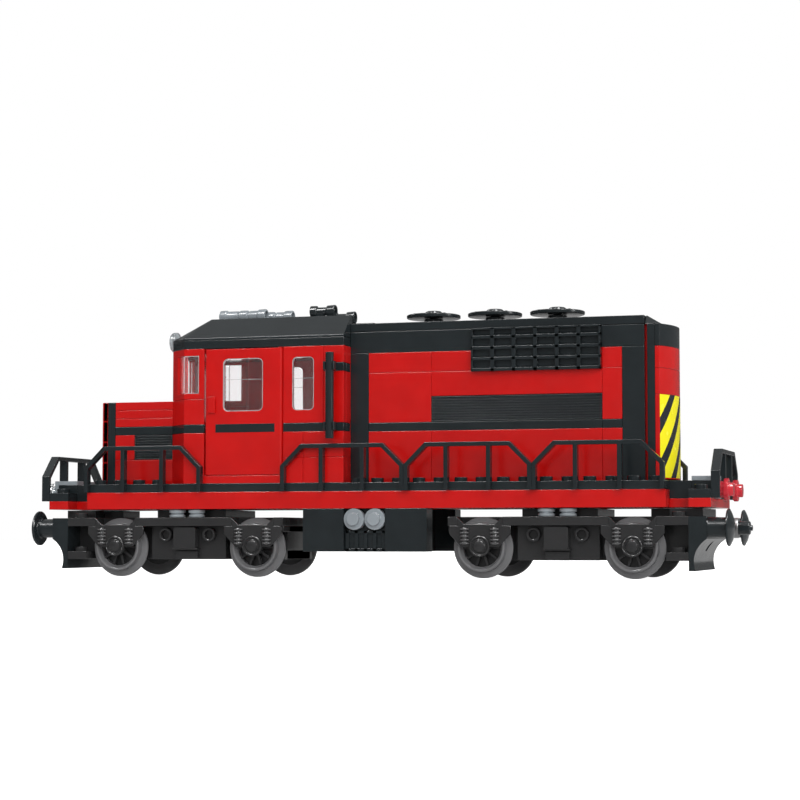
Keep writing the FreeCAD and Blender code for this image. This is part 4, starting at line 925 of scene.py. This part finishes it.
# ---- bogies ----
def bogie(end, name, body):
    """Side frames, housings, top plates, axle boxes and the cross beam of one bogie."""
    middle = end * BOGIE_X

    def span(inner, outer):
        """A stretch along X, counted outwards from the pivot."""
        return tuple(sorted((middle + end * inner, middle + end * outer)))

    black = shape()
    wide, clear = 18.4, 8.5
    bolster_z = (FRAME_TOP, BASE_LOW - 0.3)
    for xs, ys, zs in (
            (span(-38, 36), (-13, 13), (BOGIE_LOW, FRAME_LOW)),
            (span(-38, -AXLE_X), HOOD_Y, (BOGIE_LOW, 10.1)),
            (span(-15.2, 15.2), (-wide, wide), (BOGIE_LOW, FRAME_LOW)),
            (span(-40, 48), HOOD_Y, (FRAME_LOW, FRAME_TOP)),
            (span(-40, -36), HOOD_Y, (17.0, FRAME_LOW)),
            (span(-40, -38), (BOX_IN - HALF_W, HALF_W - BOX_IN), (17.0, FRAME_LOW)),
            (span(32, 40), (-PITCH, PITCH), bolster_z), (span(40, 52), HOOD_Y, bolster_z),
            (span(-14, 14), HOOD_Y, bolster_z),
            (span(40, 48), BASE_Y, (BOGIE_LOW, BOGIE_LOW + 3.0)),
            (span(36, 48), (-13, 13), (BOGIE_LOW, FRAME_LOW))):
        block(black, xs, ys, zs)
    for x in (span(-AXLE_X + clear, AXLE_X - clear), span(AXLE_X + clear, 48),
              span(-40, -AXLE_X - clear)):
        for side in SIDES:
            block(black, x, (side * HOOD_HALF, side * HALF_W), (FRAME_LOW, FRAME_TOP))
    rod(black, (middle, 0, FRAME_TOP), UP, 3.95, 8.2)
    rod(black, (middle, 0, STEP_TOP + 1.8), UP, 5.5, 1.2)
    studs(black, [(middle + end * 44, side * 20, foot)
                  for foot in (FRAME_TOP, BOGIE_LOW + 3.0) for side in SIDES])
    for side in SIDES:
        centre_box = prism(shape(), rounded(span(-4.5, 4.5), (10.6, 18.8), 0.9, 4), "y",
                           side * wide, side * 23.0)
        lip = block(shape(), span(-5.0, 5.0), (side * wide, side * 22.6), (10.2, 10.9))
        black = join(black, centre_box, lip)
        block(black, span(-4.5, 4.5), (side * wide, side * 20.8), (BOGIE_LOW, 9.8))
        for step in SIDES:
            ring_lathe(black, [(1.6, -0.4), (2.7, -0.4), (2.7, 2.2), (2.45, 2.5), (1.95, 2.5),
                               (1.6, 2.2)], (middle + step * 8.9, side * wide, 16.0),
                       (0, side, 0), 32)
    # the lighter bogie plastic is painted light on black frames
    stand_in(name, black, BOGIE_PAINTED_LIGHT, body)
    short = name[:-6]
    plates = shape()
    for step in SIDES:
        for side in SIDES:
            lathe(plates, [(2.6, 0), (3.1, 0.25), (3.1, 1.0), (2.4, 1.3), (2.4, 1.5), (3.2, 1.8),
                           (3.2, 2.9)], (middle + step * PITCH / 2, side * 2.5 * PITCH, FRAME_TOP))
    stand_in(short + "_slide_plates", plates, GREY, body, bevel=0.1)
    covers, springs = shape(), shape()
    half = [(11.5, 19.2), (8.5, 19.2), (8.5, 22.4), (5.8, 19.7)]
    outline = ([(-x, z) for x, z in half] + [(x, z) for x, z in reversed(half)]
               + [(11.5, 16.2), (7.0, 11.4), (-7.0, 11.4), (-11.5, 16.2)])
    for step in SIDES:
        for side in SIDES:
            axle_box(covers, springs, middle + step * AXLE_X, side, outline)
    # the axle boxes share the lighter bogie plastic, painted light on black covers
    stand_in(short + "_axle_boxes", covers, BOGIE_PAINTED_LIGHT, body, bevel=0.36)
    # the springs' lighter plastic is a painted highlight on black coils
    piece(short + "_springs_visual", springs, SPRING_PAINTED_HIGHLIGHT, body=body, bevel=0)


def axle_box(bm, springs, x, side, outline):
    """One dummy axle box: a plate with a ringed hub, and two coil springs."""
    back, face = side * (HALF_W - BOX_IN), side * HALF_W
    prism(bm, [(x + across, up) for across, up in outline], "y", back, face)
    lathe(bm, [(3.9, 0), (3.9, 1.5), (3.6, 2.0), (3.1, 2.0), (2.9, 1.5), (2.35, 1.5),
               (2.2, 2.2), (1.9, 2.4), (0, 2.4)], (x, back, BOX_HUB_Z), (0, side, 0))
    for spring in SIDES:
        middle = x + spring * 5.65
        for coil in range(5):
            coil_ring(springs, (middle, face, 12.75 + 1.28 * coil), 1.4, 0.34)
        rod(springs, (middle, face, 12.2), UP, 0.8, 6.3, 16)


def coil_ring(bm, centre, radius, thickness, segments=24, sides=10):
    """Add a level round ring of wire."""
    profile = [around((radius, 0), thickness, 2 * math.pi * step / sides)
               for step in range(sides)]
    ring_lathe(bm, profile, centre, segments=segments)


def wheelset(number, x):
    """Two wheels with ten spokes between hub and rim, and their tyres."""
    black, tyre = shape(), shape()
    for side in SIDES:
        centre, axis = (x, 0, AXLE_Z), (0, side, 0)
        ring_lathe(tyre, [(7.0, 17.4), (10.9, 17.4), (11.2, 17.7), (11.2, 18.4), (10.9, 18.7),
                           (9.3, 18.9), (8.95, 19.2), (8.85, 22.0), (8.65, 22.2), (8.1, 22.2),
                           (7.8, 22.0), (7.3, 20.9), (7.0, 20.7)], centre, axis, 96)
        lathe(black, [(0, 17.4), (7.1, 17.4), (7.1, 18.1), (0, 18.1)], centre, axis)
        lathe(black, [(2.9, 18.0), (2.9, 21.6), (2.6, 22.0), (1.6, 22.1), (0, 22.1)], centre, axis)
        for angle in range(18, 360, 36):
            arm = prism(shape(), [(-0.5, 2.4), (0.5, 2.4), (0.38, 7.2), (-0.38, 7.2)], "z",
                        18.0, 20.7)
            matrix = turn_to(axis, centre) @ Matrix.Rotation(math.radians(angle), 4, "Z")
            bmesh.ops.transform(arm, matrix=matrix, verts=arm.verts)
            black = join(black, arm)
    stand_in(f"wheels_{number}", black, WHEEL, f"wheelset_{number}", bevel=0.12)
    # the tyres' lighter plastic is painted light on black treads and flanges
    piece(f"tyres_{number}_visual", tyre, TYRE_PAINTED_LIGHT, body=f"wheelset_{number}", bevel=0.12)


def dome(radius, height, rise, steps=8):
    """The profile points of a spherical cap."""
    bend = (radius ** 2 + rise ** 2) / (2 * rise)
    points = []
    for step in range(steps + 1):
        across = radius * (1 - step / steps)
        points.append((across, height + rise - bend + math.sqrt(bend ** 2 - across ** 2)))
    return points


def buffer_beam(end, name, body):
    """Cross beam, hollow-curved plough, and two buffers."""
    inner = END_HALF - PITCH
    arc = []
    for step in range(13):
        t = step / 12
        bulge = (1 - t) * t * 4
        arc.append((end * (inner + 2.4 + 4.0 * t - 2.1 * bulge), 3.0 + 11.4 * t + 0.6 * bulge))
    outline = [(end * inner, 3.0)] + arc + [(end * (inner + 6.4), 22.3), (end * inner, 22.3)]
    beam = prism(shape(), outline, "y", -HALF_W, HALF_W)
    hole = block(shape(), (end * (inner + 0.8), end * (inner + 8)), (-3.4, 3.4), (16.4, 20.8))
    rod(hole, (end * (inner + 3.2), 0, 10), UP, 2.05, 6)
    beam = carve(beam, hole)
    for side in SIDES:
        foot = (end * (inner + 6.4), side * 2.5 * PITCH, 18.4)
        lathe(beam, [(3.6, -0.5), (3.6, 6.4), (3.9, 6.7), (6.3, 6.8), (6.65, 7.1)]
              + dome(6.65, 7.6, 1.8), foot, (end, 0, 0))
    stand_in(name, beam, BLACK, body)


def coupler(end, name, body):
    """Magnet, hub with its level flange, arm and swivel pin."""
    pivot = end * (END_HALF - PITCH + 3.2)
    black = shape()
    rod(black, (pivot, 0, 13.6), UP, 2.0, 8.4, 32)
    block(black, (pivot, end * 133.6), (-1.6, 1.6), (16.8, 20.4))
    lathe(black, [(2.45, 0), (2.45, 4.0), (2.2, 4.3), (1.0, 4.3), (1.0, 5.1), (0, 5.1)],
          (end * COUPLER_HUB_X, 0, COUPLER_Z), (end, 0, 0), 32)
    block(black, (end * COUPLER_HUB_X, end * (COUPLER_HUB_X + 4)), (-3.0, 3.0),
          (COUPLER_Z - 1.1, COUPLER_Z + 1.1))
    stand_in(name + "_coupler", black, BLACK, body)
    magnet = shape()
    lathe(magnet, [(3.4, 0), (3.65, 0.25), (3.65, 1.75), (3.4, 2.0)],
          (end * MAGNET_X, 0, COUPLER_Z), (end, 0, 0))
    stand_in(name + "_magnet", magnet, MAGNET, body, bevel=0)


# ---- inside, and CAD nodes kept as they are ----
def paint_cad():
    """Give the CAD nodes that stay visible their finished materials."""
    finishes = {"axle_1": STEEL, "axle_2": STEEL, "axle_3": STEEL, "axle_4": STEEL,
                "drive_motor": STEEL, "motor_pinion": NYLON, "battery_box": GREY,
                "battery_cells": CELLS, "power_button": GREEN, "receiver": GREY}
    for node, material in finishes.items():
        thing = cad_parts[node]
        thing.data.materials.clear()
        thing.data.materials.append(material)


# ---- build ----
base()
deck()
lamps()
railings()
underframe()
short_hood()
cab()
doors()
handrails()
cab_roof()
long_hood()
hood_roof()
for bogie_end, bogie_name in ((-1, "cab_end"), (1, "hood_end")):
    bogie(bogie_end, bogie_name + "_bogie", bogie_name + "_bogie_body")
    buffer_beam(bogie_end, bogie_name + "_buffer_beam", bogie_name + "_bogie_body")
    coupler(bogie_end, bogie_name, bogie_name + "_coupler_body")
for wheel_number, wheel_x in enumerate((-BOGIE_X - AXLE_X, -BOGIE_X + AXLE_X,
                                        BOGIE_X - AXLE_X, BOGIE_X + AXLE_X), start=1):
    wheelset(wheel_number, wheel_x)
paint_cad()


# ---- floor, light and camera ----
def graded(tree, source, low, high, at_low, at_high):
    """Values that ease from one to another as the source goes from low to high."""
    node = add(tree, "ShaderNodeMapRange", {"Value": source, "From Min": low, "From Max": high,
                                            "To Min": at_low, "To Max": at_high})
    node.interpolation_type = "SMOOTHSTEP"
    return node.outputs["Result"]


def glow(tree, strength):
    """A shader that gives off white light."""
    return add(tree, "ShaderNodeEmission", {"Strength": strength}).outputs["Emission"]


def gloss_only(tree, rays):
    """One for a ray mirrored by a glossy surface, and nothing for one that goes through glass."""
    through = calculate(tree, "SUBTRACT", 1.0, rays["Is Transmission Ray"])
    return calculate(tree, "MULTIPLY", rays["Is Glossy Ray"], through)


def floor_material():
    """Pale card that looks almost pure white to the camera and dimmer in gloss."""
    material, tree, shader = new_material("pale floor")
    fill(tree, shader, {"Base Color": (0.86, 0.86, 0.86, 1.0), "Roughness": 0.95})
    rays = tree.nodes.new("ShaderNodeLightPath").outputs
    seen = calculate(tree, "ADD", rays["Is Camera Ray"], rays["Is Transmission Ray"])
    card = add(tree, "ShaderNodeAddShader", {0: shader.outputs["BSDF"], 1: glow(tree, seen)})
    _, y, _ = coordinates(tree, "ShaderNodeNewGeometry", "Position")
    mirrored = glow(tree, graded(tree, y, -0.12, 0.06, 0.22, 0.5))
    both = add(tree, "ShaderNodeMixShader", {
        "Fac": gloss_only(tree, rays), 1: card.outputs["Shader"], 2: mirrored})
    fill(tree, tree.nodes["Material Output"], {"Surface": both.outputs["Shader"]})
    return material


def studio_light():
    """Soft light all round, less from the left, with dim walls and a bright ceiling in gloss."""
    world = bpy.data.worlds.new("studio")
    world.use_nodes = True
    tree = world.node_tree
    x, y, z = coordinates(tree, "ShaderNodeTexCoord", "Generated")
    soft = graded(tree, x, -1.0, 1.0, 0.16, 1.22)
    walls = graded(tree, x, -1.0, 0.6, 0.09, 0.2)
    behind = graded(tree, y, -0.2, 1.0, 0.0, -0.04)
    ceiling = graded(tree, z, 0.12, 0.8, 0.0, 0.42)
    gloss = calculate(tree, "ADD", calculate(tree, "ADD", walls, behind), ceiling)
    rays = tree.nodes.new("ShaderNodeLightPath").outputs
    is_gloss, is_soft = gloss_only(tree, rays), rays["Is Diffuse Ray"]
    others = calculate(tree, "SUBTRACT", calculate(tree, "SUBTRACT", 1.0, is_gloss), is_soft)
    strength = calculate(tree, "ADD", calculate(tree, "MULTIPLY", is_soft, soft),
                         calculate(tree, "MULTIPLY", is_gloss, gloss))
    fill(tree, tree.nodes["Background"], {"Color": (1.0, 1.0, 1.0, 1.0),
                                          "Strength": calculate(tree, "ADD", strength, others)})
    bpy.context.scene.world = world


# where small bright panels stand, how many degrees across they look, and their strength
GLINTS = [((0.25, -0.30, 0.85), 22, 3.6), ((-0.30, -0.60, 0.72), 14, 2.0),
          ((0.95, -0.10, 0.30), 16, 1.6), ((-0.75, 0.20, 0.60), 16, 0.8)]


def studio():
    """A plain pale floor, soft light all round and a broad key light from the front right."""
    mesh = bpy.data.meshes.new("floor")
    size = 6.0
    mesh.from_pydata([(-size, -size, 0), (size, -size, 0), (size, size, 0), (-size, size, 0)],
                     [], [(0, 1, 2, 3)])
    floor = bpy.data.objects.new("floor", mesh)
    bpy.context.scene.collection.objects.link(floor)
    mesh.materials.append(floor_material())
    studio_light()
    sun("key", (0.35, -0.85, 0.4), 40, 1.02, glossy=False)
    for number, (towards, wide, energy) in enumerate(GLINTS):
        sun(f"glint_{number}", towards, wide, energy, diffuse=False)


def sun(name, towards, wide, energy, glossy=True, diffuse=True):
    """A far light in one direction."""
    data = bpy.data.lights.new(name, "SUN")
    data.energy = energy
    data.angle = math.radians(wide)
    lamp = bpy.data.objects.new(name, data)
    lamp.rotation_euler = Vector(towards).to_track_quat("Z", "Y").to_euler()
    lamp.visible_glossy = glossy
    lamp.visible_diffuse = diffuse
    bpy.context.scene.collection.objects.link(lamp)


CAMERA_LENS = 93.48
CAMERA_SENSOR = 36.0
CAMERA_AT = (0.23513, -0.75503, 0.01493)
CAMERA_RISE, CAMERA_TURN = 0.066, 0.2939   # radians above level, and round from straight on


def camera():
    """The view point of the picture that the toy is shown in."""
    data = bpy.data.cameras.new("camera")
    data.lens = CAMERA_LENS
    data.sensor_width = CAMERA_SENSOR
    data.clip_start = 0.01
    thing = bpy.data.objects.new("camera", data)
    thing.location = CAMERA_AT
    thing.rotation_euler = (math.pi / 2 + CAMERA_RISE, 0.0, CAMERA_TURN)
    bpy.context.scene.collection.objects.link(thing)
    bpy.context.scene.camera = thing


studio()
camera()
bpy.context.scene.view_settings.view_transform = "Standard"
